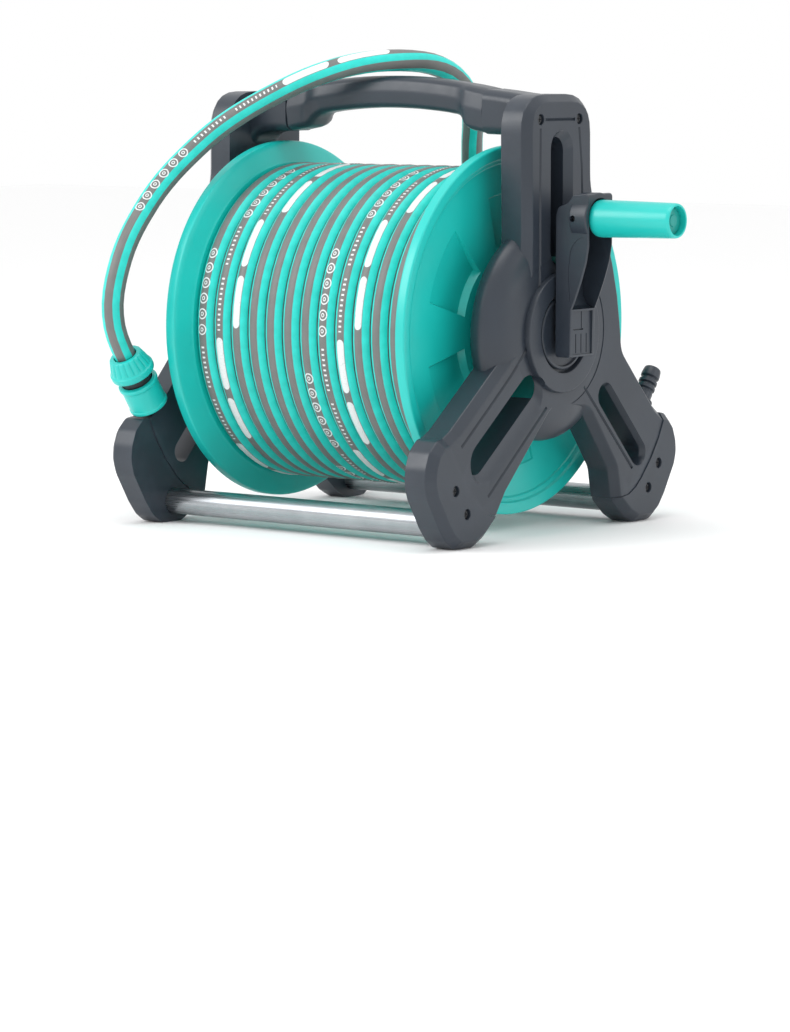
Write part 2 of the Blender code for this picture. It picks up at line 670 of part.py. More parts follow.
def crank_arm(axle, look):
    """The arm: a side outline extruded across, with a trough, a pin hole and a square hub."""
    back = FRAME_OUT + BOSS_PROUD + ARM_BACK_GAP
    side = arm_side()
    left = [(back + x, -ARM_HALF_Y, z) for x, z in side]
    right = [(back + x, ARM_HALF_Y, z) for x, z in side]
    arm = skin("crank_arm", [left, right])
    put(arm, axle, look=look)
    pin = PIN_Z - AXLE_Z
    pin_x = back + PIN_FROM_BACK
    low = TROUGH_LOW - AXLE_Z
    mouth_top = pin + KNUCKLE_R + 0.003
    mouth = [(-TROUGH_HALF_Y, low), (TROUGH_HALF_Y, low), (TROUGH_HALF_Y, mouth_top), (-TROUGH_HALF_Y, mouth_top)]
    trough = prism("trough_tool", mouth, back + TROUGH_FLOOR, back + 0.08)
    seat = rod("seat_tool", pin_x + 0.004, back + 0.08, GRIP_BASE_R + SLIDE_GAP)
    cut(arm, tool(trough, parent=axle), tool(seat, (0, 0, pin), parent=axle))
    hole = rod("pin_hole_tool", -0.05, 0.05, PIN_R + TOUCH, SMALL_STEPS)
    cut(arm, tool(hole, (pin_x, 0, pin), (0, 0, math.pi / 2), axle))
    bore = rod("arm_bore_tool", back - 0.01, back + HUB_SPIGOT + TOUCH, HUB_SPIGOT_R + TOUCH)
    screw_bore = rod("arm_screw_tool", back - 0.01, back + 0.1, SCREW_SHANK_R + TOUCH, SMALL_STEPS)
    panel = box("hub_panel_tool", (back + ARM_FRONT_LOW - HUB_PANEL, -0.0155, 0.004 - ARM_BELOW_AXLE),
                (back + 0.1, 0.0155, low - 0.004))
    cut(arm, tool(bore, parent=axle), tool(screw_bore, parent=axle), tool(panel, parent=axle))
    return arm


def grip_parts(hinge, looks):
    """The folding grip: a knuckle on the hinge pin, its spindle, the turning sleeve and its plug."""
    base = GRIP_FROM_PIN
    pin = rod("grip_pin", 0.0005 - ARM_HALF_Y, ARM_HALF_Y - 0.0005, PIN_R, SMALL_STEPS)
    knuckle = rod("grip_knuckle", -KNUCKLE_HALF_Y, KNUCKLE_HALF_Y, KNUCKLE_R)
    put(knuckle, hinge, rotation=(0, 0, math.pi / 2), look=looks["dark"])
    spindle_r = GRIP_BORE_R - RUNNING
    spindle_end = base + GRIP_LENGTH - GRIP_CUP_DEPTH - 0.004
    profile = [(0.004, 0), (0.004, spindle_r), (base - 0.0030, spindle_r), (base - 0.0030, 0.0130),
               (base - TOUCH, 0.0130), (base - TOUCH, spindle_r), (spindle_end, spindle_r), (spindle_end, 0)]
    neck = tool(turned("spindle_tool", profile), rotation=(0, 0, -math.pi / 2), parent=knuckle)
    add(knuckle, neck)
    hole = tool(rod("knuckle_hole_tool", -0.05, 0.05, PIN_R + SLIDE_GAP, SMALL_STEPS), parent=knuckle)
    cut(knuckle, hole)
    sleeve_profile = [(base, GRIP_BORE_R), (base, GRIP_BASE_R - 0.005), (base + 0.0015, GRIP_BASE_R - 0.0018),
                      (base + 0.005, GRIP_BASE_R), (base + GRIP_LENGTH - 0.003, GRIP_END_R),
                      (base + GRIP_LENGTH, GRIP_END_R - 0.0015), (base + GRIP_LENGTH, GRIP_CUP_R),
                      (base + GRIP_LENGTH - GRIP_CUP_DEPTH, GRIP_CUP_R - 0.001),
                      (base + GRIP_LENGTH - GRIP_CUP_DEPTH, GRIP_BORE_R)]
    grip = put(turned("grip_sleeve", sleeve_profile), hinge, look=looks["teal"])
    plug_low = base + GRIP_LENGTH - GRIP_CUP_DEPTH + TOUCH
    plug = put(rod("grip_plug", plug_low, plug_low + 0.003, GRIP_CUP_R - 0.0015), hinge,
               look=looks["teal_dark"])
    return pin, knuckle, grip, plug


# ==================================================================== inlet
def inlet_swivel(parent, looks):
    """The water inlet on the left: a swivelling elbow with a threaded tail and a union nut."""
    seat = FRAME_OUT + BOSS_PROUD
    middle = seat + INLET_OUT
    body = sleeve("inlet_elbow", seat + 0.010, middle + 0.016, SHAFT_R + RUNNING, INLET_BODY_R)
    put(body, parent, rotation=(0, 0, math.pi), look=looks["dark"])
    cap = tool(rod("inlet_cap_tool", middle + 0.012, middle + 0.0175, INLET_BODY_R - 0.001), parent=body)
    add(body, cap)
    tail = rod("inlet_tail_tool", SHAFT_R + 0.001, INLET_ARM, INLET_TAIL_R)
    tail = tool(tail, (middle, 0, 0), (0, math.pi / 2, 0), body)
    add(body, tail)
    way = rod("inlet_way_tool", 0.0, INLET_ARM + 0.01, INLET_BORE_R)
    way = tool(way, (middle, 0, 0), (0, math.pi / 2, 0), body)
    cut(body, way)
    nut = sleeve("inlet_nut", INLET_BODY_R + 0.004, INLET_ARM - 0.006, INLET_TAIL_R + TOUCH, 0.0155)
    turn = pivot("inlet_tail_axis", (-middle, 0, 0), parent, (0, math.pi / 2, 0))
    put(nut, turn, look=looks["teal"])
    return body, nut


# ================================================================ connector
def nipple(name):
    """The ribbed nipple on a leg, along its own +X axis, with its foot at 0."""
    ridges = []
    for i in range(3):
        start = 0.0145 + i * 0.0072
        ridges += [(start, NIPPLE_R), (start + 0.0012, NIPPLE_R + NIPPLE_RIDGE),
                   (start + 0.0030, NIPPLE_R + NIPPLE_RIDGE), (start + 0.0042, NIPPLE_R)]
    profile = [(0.0, 0.0), (0.0, NIPPLE_R + 0.0030), (0.0035, NIPPLE_R + 0.0030), (0.0045, NIPPLE_R)]
    profile += ridges
    profile += [(NIPPLE_LENGTH - 0.0015, NIPPLE_R), (NIPPLE_LENGTH, NIPPLE_R - 0.0015),
                (NIPPLE_LENGTH, 0.0058), (NIPPLE_LENGTH - 0.012, 0.0052), (NIPPLE_LENGTH - 0.012, 0)]
    return turned(name, profile, 16)


def connector(dock, looks):
    """The quick connector along the dock's +X axis, parked over the nipple."""
    low = CONNECTOR_GAP
    barrel_top = low + BARREL_LENGTH
    neck_top = barrel_top + NECK_LENGTH
    nut_top = neck_top + NUT_LENGTH
    bore = NIPPLE_R + NIPPLE_RIDGE + SLIDE_GAP
    body_r = CONNECTOR_R - 0.0035
    body = turned("connector_body", [
        (low + 0.003, bore), (low + 0.003, body_r - 0.001), (barrel_top - 0.004, body_r - 0.001),
        (barrel_top - 0.004, NECK_R), (neck_top - TOUCH, NECK_R), (neck_top - TOUCH, 0.0105),
        (nut_top - 0.010, 0.0105), (nut_top - 0.010, 0.0060), (NIPPLE_LENGTH + 0.003, 0.0060),
        (NIPPLE_LENGTH + 0.003, bore)])
    sleeve_in = body_r - 0.001 + SLIDE_GAP
    barrel_end = barrel_top - 0.004 - SLEEVE_TRAVEL - TOUCH
    collar = turned("connector_sleeve", [
        (low, sleeve_in), (low, CONNECTOR_R), (low + 0.004, CONNECTOR_R), (low + 0.0055, CONNECTOR_R - 0.001),
        (barrel_end - 0.003, CONNECTOR_R - 0.0005), (barrel_end, CONNECTOR_R - 0.003),
        (barrel_end, sleeve_in)])
    nut = turned("connector_nut", [
        (neck_top, 0.0105 + TOUCH), (neck_top, NUT_R - 0.003), (neck_top + 0.002, NUT_R),
        (neck_top + 0.008, NUT_R), (nut_top - 0.002, NUT_TOP_R), (nut_top, NUT_TOP_R - 0.001),
        (nut_top, HOSE_R + TOUCH), (nut_top - 0.0095, HOSE_R + TOUCH), (nut_top - 0.0095, 0.0105 + TOUCH)])
    seal = sleeve("connector_seal", NIPPLE_LENGTH + 0.0005, NIPPLE_LENGTH + 0.0027, 0.0045, bore - TOUCH)
    put(body, dock, look=looks["black"])
    put(collar, dock, look=looks["teal"])
    put(nut, dock, look=looks["teal"])
    put(seal, dock, look=looks["rubber"])
    return nut_top


# ===================================================================== hose
def hose_mouth(nut_top):
    """The hose's first two points, straight along the parked connector's axis."""
    tilt = math.radians(DOCK_TILT)
    points = []
    for along in (nut_top - 0.0090, nut_top + 0.0080):
        points.append((-DOCK_X, -DOCK_Y - along * math.sin(tilt), DOCK_Z + along * math.cos(tilt)))
    return points


def hose_route():
    """The free hose from beyond the connector, over the handle, to the back of the winding."""
    return [(-0.1812, -0.2222, 0.1998), (-0.1803, -0.2257, 0.2257), (-0.1777, -0.2212, 0.2544),
            (-0.1776, -0.2071, 0.2830), (-0.1790, -0.1828, 0.3110), (-0.1735, -0.1595, 0.3393),
            (-0.1617, -0.1348, 0.3663), (-0.1419, -0.1068, 0.3954), (-0.1141, -0.0767, 0.4211),
            (-0.0710, -0.0487, 0.4458), (-0.0270, -0.0250, 0.4597), (0.0048, 0.0096, 0.4625),
            (0.0194, 0.0456, 0.4562), (0.0232, 0.0781, 0.4379), (0.0180, 0.1023, 0.4100),
            (0.0071, 0.1164, 0.3745), (0.0003, 0.1291, 0.3394), (-0.0022, 0.1584, 0.2978),
            (0.0141, 0.1877, 0.2571), (0.0348, 0.1972, 0.2098), (0.0597, 0.1913, 0.1624),
            (0.0879, 0.1725, 0.1178), (0.1078, 0.1402, 0.0834), (0.1170, 0.1040, 0.0618)]


def smooth_route(points, spacing):
    """Read a centripetal curve through the route's points at an even spacing."""
    fine = []
    for i in range(len(points) - 1):
        p0 = Vector(points[max(i - 1, 0)])
        p1 = Vector(points[i])
        p2 = Vector(points[i + 1])
        p3 = Vector(points[min(i + 2, len(points) - 1)])
        for step in range(20):
            t = step / 20
            first = 2 * p1 + (p2 - p0) * t
            second = (2 * p0 - 5 * p1 + 4 * p2 - p3) * t ** 2
            third = (3 * p1 - p0 - 3 * p2 + p3) * t ** 3
            fine.append((first + second + third) * 0.5)
    fine.append(Vector(points[-1]))
    even = [fine[0]]
    for point in fine[1:]:
        if (point - even[-1]).length >= spacing:
            even.append(point)
    if (fine[-1] - even[-1]).length < spacing * 0.5:
        even.pop()
    even.append(fine[-1])
    return even


def tube_along(name, points, radius):
    """A round tube with filled ends along a list of points."""
    data = bpy.data.curves.new(name, "CURVE")
    data.dimensions = "3D"
    data.bevel_depth = radius
    data.bevel_resolution = 2
    data.render_resolution_u = 0
    data.use_fill_caps = True
    line = data.splines.new("POLY")
    line.points.add(len(points) - 1)
    for spot, place in zip(line.points, points):
        spot.co = (*place, 1.0)
    return bpy.data.objects.new(name, data)


# ================================================================= assembly
def build_frames(origin, looks):
    workshop = pivot("frame_workshop", (0, 0, 0), origin)
    body = frame_shell(workshop)
    put(body, origin, look=looks["dark"])
    bpy.context.view_layer.update()
    shared = baked(body, "frame_moulding")
    body.modifiers.clear()
    body.data = shared
    left = bpy.data.objects.new("frame_left", shared)
    put(left, origin, rotation=(0, 0, math.pi))
    for end, name in (("steep", "foot_steep"), ("low", "foot_low")):
        cap = foot_cap(name, workshop, end == "steep")
        put(cap, origin, look=looks["dark"])
        bpy.context.view_layer.update()
        mesh = baked(cap, name)
        bpy.data.objects.remove(cap, do_unlink=True)
        for side, turn in (("right", 0.0), ("left", math.pi)):
            rear = (end == "steep") == (side == "right")
            place = "foot_%s_%s" % ("rear" if rear else "front", side)
            put(bpy.data.objects.new(place, mesh), origin, rotation=(0, 0, turn))
    remove_tools(workshop)


def baked(item, name):
    """The object's mesh with its modifiers applied."""
    graph = bpy.context.evaluated_depsgraph_get()
    mesh = bpy.data.meshes.new_from_object(item.evaluated_get(graph))
    mesh.name = name
    return mesh


def remove_tools(workshop):
    for item in list(bpy.data.objects):
        if item.parent == workshop:
            bpy.data.objects.remove(item, do_unlink=True)
    bpy.data.objects.remove(workshop, do_unlink=True)


def build_fasteners(origin, looks):
    foot_face = FRAME_OUT + 0.0015
    for side, turn in (("right", 0.0), ("left", math.pi)):
        facing = pivot("fastener_side_" + side, (0, 0, 0), origin, (0, 0, turn))
        for end in (LEFT, RIGHT):
            rear = (end == RIGHT) == (side == "right")
            foot = "rear" if rear else "front"
            for number, (y, z) in enumerate(FOOT_SCREWS, 1):
                item = screw("foot_screw_%s_%s_%d" % (foot, side, number), foot_face)
                put(item, facing, (0, end * y, z), look=looks["screw"])
        for number, (y, z) in enumerate(TOP_SCREWS, 1):
            item = screw("handle_screw_%s_%d" % (side, number), FRAME_OUT)
            put(item, facing, (0, y, z), look=looks["screw"])


def build_tubes_and_handle(origin, looks):
    for name, side in (("cross_tube_front", LEFT), ("cross_tube_rear", RIGHT)):
        item = sleeve(name, -TUBE_END_X, TUBE_END_X, TUBE_R - TUBE_WALL, TUBE_R)
        put(item, origin, (0, side * TUBE_Y, TUBE_Z), look=looks["metal"])
    put(handle_body(), origin, look=looks["dark"])


def build_bushes(axle, looks):
    for name, turn in (("axle_bush_right", 0.0), ("axle_bush_left", math.pi)):
        inner = SHAFT_R + RUNNING
        profile = [(HUB_INNER_X - 0.0008, inner), (HUB_INNER_X - 0.0008, inner + BUSH_WALL + 0.004),
                   (HUB_INNER_X - TOUCH, inner + BUSH_WALL + 0.004), (HUB_INNER_X - TOUCH, inner + BUSH_WALL),
                   (FRAME_OUT + 0.001, inner + BUSH_WALL), (FRAME_OUT + 0.001, inner)]
        put(turned(name, profile), axle, rotation=(0, 0, turn), look=looks["black"])


def build_drum(axle, looks):
    for name, turn in (("flange_right", 0.0), ("flange_left", math.pi)):
        item = flange(name)
        put(item, axle, rotation=(0, 0, turn), look=looks["teal"])
        flange_pads(item, item)
    core_end = FLANGE_WEB_X - TOUCH
    core = sleeve("drum_core", -core_end, core_end, CORE_R - CORE_WALL, CORE_R, LARGE_STEPS)
    put(core, axle, look=looks["teal"])
    inner_end = FLANGE_WEB_X - 0.040
    arm_back = FRAME_OUT + BOSS_PROUD + ARM_BACK_GAP
    shaft_profile = [(inner_end, 0), (inner_end, SHAFT_R), (arm_back - TOUCH, SHAFT_R),
                     (arm_back - TOUCH, HUB_SPIGOT_R), (arm_back + HUB_SPIGOT, HUB_SPIGOT_R),
                     (arm_back + HUB_SPIGOT, 0)]
    shaft = put(turned("crank_shaft", shaft_profile), axle, look=looks["dark"])
    thread = rod("shaft_thread_tool", arm_back - TOUCH, arm_back + 0.05, SCREW_SHANK_R + TOUCH, SMALL_STEPS)
    cut(shaft, tool(thread, parent=axle))
    inlet_end = FRAME_OUT + BOSS_PROUD + INLET_OUT - 0.014
    tube = [(inner_end, SHAFT_BORE_R), (inner_end, SHAFT_R), (inlet_end, SHAFT_R), (inlet_end, SHAFT_BORE_R)]
    put(turned("inlet_axle", tube), axle, rotation=(0, 0, math.pi), look=looks["dark"])
    build_riser(axle, looks, inner_end)


def build_riser(axle, looks, inner_end):
    """The pipe inside the drum that takes the water from the axle out to the hose."""
    end = -inner_end + TOUCH
    knee = 0.022
    points = [(end, 0, 0), (end + knee * 0.5, 0, 0), (end + knee * 0.85, 0, knee * 0.15),
              (end + knee, 0, knee * 0.5), (end + knee, 0, knee), (end + knee, 0, CORE_R - CORE_WALL - 0.004)]
    put(tube_along("drum_riser", points, 0.008), axle, look=looks["black"])


def build_crank(axle, looks):
    arm_back = FRAME_OUT + BOSS_PROUD + ARM_BACK_GAP
    crank_arm(axle, looks["dark"])
    under_head = arm_back + ARM_FRONT_LOW - HUB_PANEL + TOUCH
    profile = [(arm_back + TOUCH, 0), (arm_back + TOUCH, SCREW_SHANK_R), (under_head, SCREW_SHANK_R),
               (under_head, 0.0060), (under_head + 0.0025, 0.0060), (under_head + 0.0033, 0.0050),
               (under_head + 0.0033, 0)]
    put(turned("crank_screw", profile, 16), axle, look=looks["screw"])
    pin_place = (arm_back + PIN_FROM_BACK, 0, PIN_Z - AXLE_Z)
    hinge = pivot("grip_hinge", pin_place, axle)
    pin = grip_parts(hinge, looks)[0]
    put(pin, hinge, rotation=(0, 0, math.pi / 2), look=looks["screw"])


def build_docks(origin, looks):
    tilt = math.radians(DOCK_TILT)
    for side, turn in (("right", 0.0), ("left", math.pi)):
        facing = pivot("dock_side_" + side, (0, 0, 0), origin, (0, 0, turn))
        # The dock's +X axis leans from upright towards the foot.
        lean = Matrix(((0, 0, 1), (math.sin(tilt), math.cos(tilt), 0), (math.cos(tilt), -math.sin(tilt), 0)))
        lean.col[2] = lean.col[0].cross(lean.col[1])
        dock = pivot("dock_axis_" + side, (DOCK_X, DOCK_Y, DOCK_Z), facing, lean.to_euler())
        put(nipple("dock_nipple_" + side), dock, look=looks["dark"])
    return dock


def build_hose(origin, axle, looks, nut_top):
    half = FLANGE_WEB_X - TOUCH
    outer = CORE_R + TOUCH + 2 * HOSE_R * HOSE_LAYERS
    ring = sleeve("hose_winding", -half, half, CORE_R + TOUCH, outer, LARGE_STEPS)
    put(ring, axle, look=looks["hose"])
    mouth = hose_mouth(nut_top)
    route = mouth + smooth_route([mouth[1], *hose_route()], 0.0300)[1:]
    run = tube_along("hose_run", route, HOSE_R)
    put(run, origin, look=looks["hose"])


def all_looks():
    return {
        "dark": material("slate_plastic", (0.055, 0.062, 0.076), 0.42),
        "black": material("black_plastic", (0.020, 0.022, 0.026), 0.45),
        "teal": material("teal_plastic", (0.014, 0.485, 0.435), 0.38),
        "teal_dark": material("teal_plug", (0.008, 0.300, 0.270), 0.45),
        "metal": material("satin_aluminium", (0.72, 0.73, 0.74), 0.32, 1.0),
        "screw": material("dark_screw", (0.060, 0.062, 0.066), 0.40, 0.6),
        "rubber": material("seal_rubber", (0.015, 0.015, 0.015), 0.70),
        "hose": material("hose_grey", (0.160, 0.165, 0.155), 0.55),
    }


def main():
    clear_scene()
    looks = all_looks()
    grip_end = FRAME_OUT + BOSS_PROUD + ARM_BACK_GAP + PIN_FROM_BACK + GRIP_FROM_PIN + GRIP_LENGTH
    inlet_end = FRAME_OUT + BOSS_PROUD + INLET_OUT + 0.0175
    # The reel is shifted so that its box, from inlet to grip, is centred on the origin.
    origin = pivot("reel_middle", ((inlet_end - grip_end) / 2, 0, 0))
    axle = pivot("drum_axle", (0, 0, AXLE_Z), origin)
    build_frames(origin, looks)
    build_fasteners(origin, looks)
    build_tubes_and_handle(origin, looks)
    build_bushes(axle, looks)
    build_drum(axle, looks)
    build_crank(axle, looks)
    inlet_swivel(pivot("inlet_pivot", (0, 0, 0), axle), looks)
    dock = build_docks(origin, looks)
    nut_top = connector(dock, looks)
    build_hose(origin, axle, looks, nut_top)


main()
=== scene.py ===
"""Looks of the free-standing garden hose reel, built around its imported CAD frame."""

import json
import math

import bmesh
import bpy
from mathutils import Matrix, Vector


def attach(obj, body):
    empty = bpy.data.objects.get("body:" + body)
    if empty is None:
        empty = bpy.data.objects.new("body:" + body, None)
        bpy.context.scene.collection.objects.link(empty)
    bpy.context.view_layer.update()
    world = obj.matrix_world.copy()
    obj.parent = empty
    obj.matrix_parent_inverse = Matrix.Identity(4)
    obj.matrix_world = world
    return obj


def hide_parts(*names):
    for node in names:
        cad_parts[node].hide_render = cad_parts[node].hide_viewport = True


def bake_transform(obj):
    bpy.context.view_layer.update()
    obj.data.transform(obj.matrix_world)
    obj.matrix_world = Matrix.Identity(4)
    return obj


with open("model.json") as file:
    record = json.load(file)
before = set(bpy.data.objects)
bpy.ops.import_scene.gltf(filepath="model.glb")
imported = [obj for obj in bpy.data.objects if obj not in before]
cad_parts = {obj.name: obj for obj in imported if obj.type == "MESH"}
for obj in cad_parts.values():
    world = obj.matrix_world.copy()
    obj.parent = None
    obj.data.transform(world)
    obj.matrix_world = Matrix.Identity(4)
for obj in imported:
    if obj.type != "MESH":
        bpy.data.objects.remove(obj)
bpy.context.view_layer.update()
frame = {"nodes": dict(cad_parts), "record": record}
NODES = frame["nodes"]

SHIFT = -0.04175          # the reel's middle, along the row frame's X
AXLE_Z = 0.199
HOSE_R = 0.0110
TILT = math.radians(34.5)
DOCK = Vector((-0.180, -0.1713, 0.1174))
DOCK_AXIS = Vector((0.0, -math.sin(TILT), math.cos(TILT)))


# ------------------------------------------------------------------ materials
class Nodes:
    """A short way to wire a material."""

    def __init__(self, name):
        self.material = bpy.data.materials.new(name)
        self.material.use_nodes = True
        self.tree = self.material.node_tree
        self.shader = self.tree.nodes["Principled BSDF"]

    def new(self, kind, **values):
        node = self.tree.nodes.new(kind)
        for key, value in values.items():
            setattr(node, key, value)
        return node

    def link(self, source, target):
        self.tree.links.new(source, target)

    def put(self, socket, value):
        if isinstance(value, bpy.types.NodeSocket):
            self.link(value, socket)
        else:
            socket.default_value = value

    def math(self, operation, a, b=0.0, clamp=False):
        node = self.new("ShaderNodeMath", operation=operation, use_clamp=clamp)
        self.put(node.inputs[0], a)
        self.put(node.inputs[1], b)
        return node.outputs[0]

    def mix(self, factor, a, b):
        node = self.new("ShaderNodeMix", data_type="RGBA")
        self.put(node.inputs[0], factor)
        for socket, value in ((node.inputs[6], a), (node.inputs[7], b)):
            self.put(socket, value if isinstance(value, bpy.types.NodeSocket) else (*value, 1.0))
        return node.outputs[2]

    def noise(self, scale, detail=3.0, vector=None, roughness=0.5):
        node = self.new("ShaderNodeTexNoise")
        node.inputs["Scale"].default_value = scale
        node.inputs["Detail"].default_value = detail
        node.inputs["Roughness"].default_value = roughness
        self.link(vector or self.place(), node.inputs["Vector"])
        return node.outputs["Fac"]

    def place(self):
        return self.new("ShaderNodeTexCoord").outputs["Object"]

    def ramp(self, value, low, high, to_low=0.0, to_high=1.0, smooth=False):
        node = self.new("ShaderNodeMapRange")
        if smooth:
            node.interpolation_type = "SMOOTHSTEP"
        for socket, number in zip(node.inputs[:5], (value, low, high, to_low, to_high)):
            self.put(socket, number)
        return node.outputs[0]

    def bump(self, height, distance, strength=1.0, normal=None):
        node = self.new("ShaderNodeBump")
        node.inputs["Strength"].default_value = strength
        node.inputs["Distance"].default_value = distance
        self.link(height, node.inputs["Height"])
        if normal is not None:
            self.link(normal, node.inputs["Normal"])
        self.link(node.outputs[0], self.shader.inputs["Normal"])
        return node.outputs[0]

    def set(self, name, value):
        self.put(self.shader.inputs[name], value)


def plastic(name, colour, roughness, grain=0.00003, coat=0.0, spread=0.10, specular=0.5):
    """Moulded plastic: fine grain, slight mottling, and a painted highlight that makes convex edges a little
    lighter, patchy by noise.
    """
    n = Nodes(name)
    place = n.place()
    broad = n.noise(14.0, 3.0, place)
    fine = n.noise(2600.0, 2.0, place)
    smear = n.noise(60.0, 5.0, place, 0.6)
    dark = tuple(c * (1 - spread) for c in colour)
    light = tuple(min(1.0, c * (1 + spread)) for c in colour)
    base = n.mix(n.ramp(broad, 0.3, 0.7), dark, light)
    # Painted highlight: convex edges, found by pointiness, are painted lighter and broken up by noise.
    edge_highlight_mask = n.ramp(n.new("ShaderNodeNewGeometry").outputs["Pointiness"], 0.53, 0.60)
    painted_edge_highlight = n.math("MULTIPLY", edge_highlight_mask, n.ramp(smear, 0.35, 0.65, 0.10, 0.55))
    edge = tuple(min(1.0, c * 1.5 + 0.02) for c in colour)
    n.set("Base Color", n.mix(painted_edge_highlight, base, edge))
    n.set("Roughness", n.ramp(smear, 0.25, 0.75, roughness - 0.05, roughness + 0.06))
    n.set("Specular IOR Level", specular)
    n.set("Coat Weight", coat)
    n.set("Coat Roughness", 0.25)
    n.bump(fine, grain, 0.6)
    return n.material


def brushed_tube(name):
    """Drawn aluminium: fine lines along X and faint clouding."""
    n = Nodes(name)
    place = n.place()
    lines = n.new("ShaderNodeMapping")
    lines.inputs["Scale"].default_value = (4.0, 900.0, 900.0)
    n.link(place, lines.inputs["Vector"])
    streak = n.noise(1.0, 4.0, lines.outputs[0])
    cloud = n.noise(25.0, 4.0, place)
    n.set("Base Color", n.mix(n.ramp(cloud, 0.3, 0.7), (0.36, 0.38, 0.40), (0.46, 0.48, 0.50)))
    n.set("Metallic", 1.0)
    n.set("Roughness", n.ramp(streak, 0.3, 0.7, 0.22, 0.38))
    n.bump(streak, 0.00001, 0.3)
    return n.material


def screw_steel(name):
    n = Nodes(name)
    cloud = n.noise(700.0, 4.0)
    n.set("Base Color", n.mix(n.ramp(cloud, 0.35, 0.65), (0.030, 0.032, 0.036), (0.075, 0.078, 0.084)))
    n.set("Metallic", 0.7)
    n.set("Roughness", n.ramp(cloud, 0.3, 0.7, 0.32, 0.50))
    n.bump(cloud, 0.00003, 0.4)
    return n.material


PERIOD = 0.8208           # length of the hose's printed pattern
RING_PITCH = 0.0146
RING_COUNT = 6
RING_START = 0.030
FIRST_RING = RING_START + RING_PITCH / 2
PILLS = ((0.2601, 0.0252), (0.3188, 0.0245))   # middle and half length along the hose
DASH_RUNS = ((0.1249, 0.1663), (0.1773, 0.2283))
WOUND_PRINT = 10.650      # from a first ring on the outer layer to where the hose leaves the winding
FREE_PRINT = 0.1663       # from the connector's end of the hose to the first ring


def hose_material(name):
    """Knitted grey hose with four lengthwise stripes and a printed line of plain rings and blanks."""
    n = Nodes(name)
    uv = n.new("ShaderNodeUVMap", uv_map="hose").outputs[0]
    split = n.new("ShaderNodeSeparateXYZ")
    n.link(uv, split.inputs[0])
    around, along = split.outputs[0], split.outputs[1]
    quarter = n.math("FRACT", n.math("MULTIPLY", around, 4.0))
    off_stripe = n.math("ABSOLUTE", n.math("SUBTRACT", quarter, 0.5))
    edge_noise = n.math("MULTIPLY", n.math("SUBTRACT", n.noise(500.0, 2.0), 0.5), 0.02)
    stripe = n.ramp(n.math("ADD", off_stripe, edge_noise), 0.235, 0.215, 0.0, 1.0, True)
    # Distance from the printed line, in metres round the hose.
    wrapped = n.math("SUBTRACT", around, n.math("ROUND", around))
    side = n.math("MULTIPLY", wrapped, 2 * math.pi * HOSE_R)
    spot = n.math("MULTIPLY", n.math("FRACT", n.math("DIVIDE", along, PERIOD)), PERIOD)
    printed = rings(n, side, spot)
    for middle, half in PILLS:
        printed = n.math("MAXIMUM", printed, pill(n, side, spot, middle, half))
    for start, end in DASH_RUNS:
        printed = n.math("MAXIMUM", printed, dashes(n, side, spot, start, end))
    knit = knit_pattern(n, around, along)
    cloud = n.noise(90.0, 4.0)
    grey = n.mix(n.ramp(cloud, 0.3, 0.7), (0.118, 0.122, 0.118), (0.150, 0.152, 0.146))
    grey = n.mix(n.math("MULTIPLY", knit, 0.45), grey, (0.255, 0.262, 0.255))
    teal = n.mix(n.ramp(cloud, 0.3, 0.7), (0.010, 0.565, 0.500), (0.020, 0.680, 0.610))
    teal = n.mix(n.math("MULTIPLY", knit, 0.20), teal, (0.08, 0.80, 0.73))
    colour = n.mix(stripe, grey, teal)
    scuffed = n.math("MULTIPLY", printed, n.ramp(n.noise(900.0, 4.0), 0.30, 0.42, 0.55, 0.95))
    n.set("Base Color", n.mix(scuffed, colour, (0.78, 0.80, 0.80)))
    n.set("Roughness", n.ramp(cloud, 0.3, 0.7, 0.34, 0.48))
    n.set("Specular IOR Level", 0.45)
    n.bump(knit, 0.00010, 0.5)
    return n.material


def rings(n, side, spot):
    local = n.math("SUBTRACT", spot, RING_START)
    cell = n.math("FRACT", n.math("DIVIDE", local, RING_PITCH))
    off = n.math("MULTIPLY", n.math("SUBTRACT", cell, 0.5), RING_PITCH)
    reach = n.math("SQRT", n.math("ADD", n.math("POWER", side, 2.0), n.math("POWER", off, 2.0)))
    rim = n.ramp(n.math("ABSOLUTE", n.math("SUBTRACT", reach, 0.0045)), 0.00075, 0.00045, 0.0, 1.0)
    dot = n.ramp(reach, 0.0021, 0.0018, 0.0, 1.0)
    hole = n.ramp(reach, 0.0012, 0.0009, 1.0, 0.0)
    mark = n.math("MAXIMUM", rim, n.math("MULTIPLY", dot, hole))
    inside = n.math("MULTIPLY", n.math("GREATER_THAN", local, 0.0),
                    n.math("LESS_THAN", local, RING_COUNT * RING_PITCH))
    return n.math("MULTIPLY", mark, inside)


def pill(n, side, spot, middle, half, width=0.0042):
    off = n.math("ABSOLUTE", n.math("SUBTRACT", spot, middle))
    past = n.math("MAXIMUM", n.math("SUBTRACT", off, half - width), 0.0)
    reach = n.math("SQRT", n.math("ADD", n.math("POWER", side, 2.0), n.math("POWER", past, 2.0)))
    return n.ramp(reach, width + 0.0002, width - 0.0002, 0.0, 1.0)


def dashes(n, side, spot, start, end):
    """A broken line of short plain bars."""
    cell = n.math("FRACT", n.math("DIVIDE", spot, 0.0048))
    bar = n.math("MULTIPLY", n.math("GREATER_THAN", cell, 0.30), n.math("LESS_THAN", cell, 0.66))
    near = n.math("LESS_THAN", n.math("ABSOLUTE", side), 0.0017)
    inside = n.math("MULTIPLY", n.math("GREATER_THAN", spot, start), n.math("LESS_THAN", spot, end))
    return n.math("MULTIPLY", n.math("MULTIPLY", bar, near), inside)


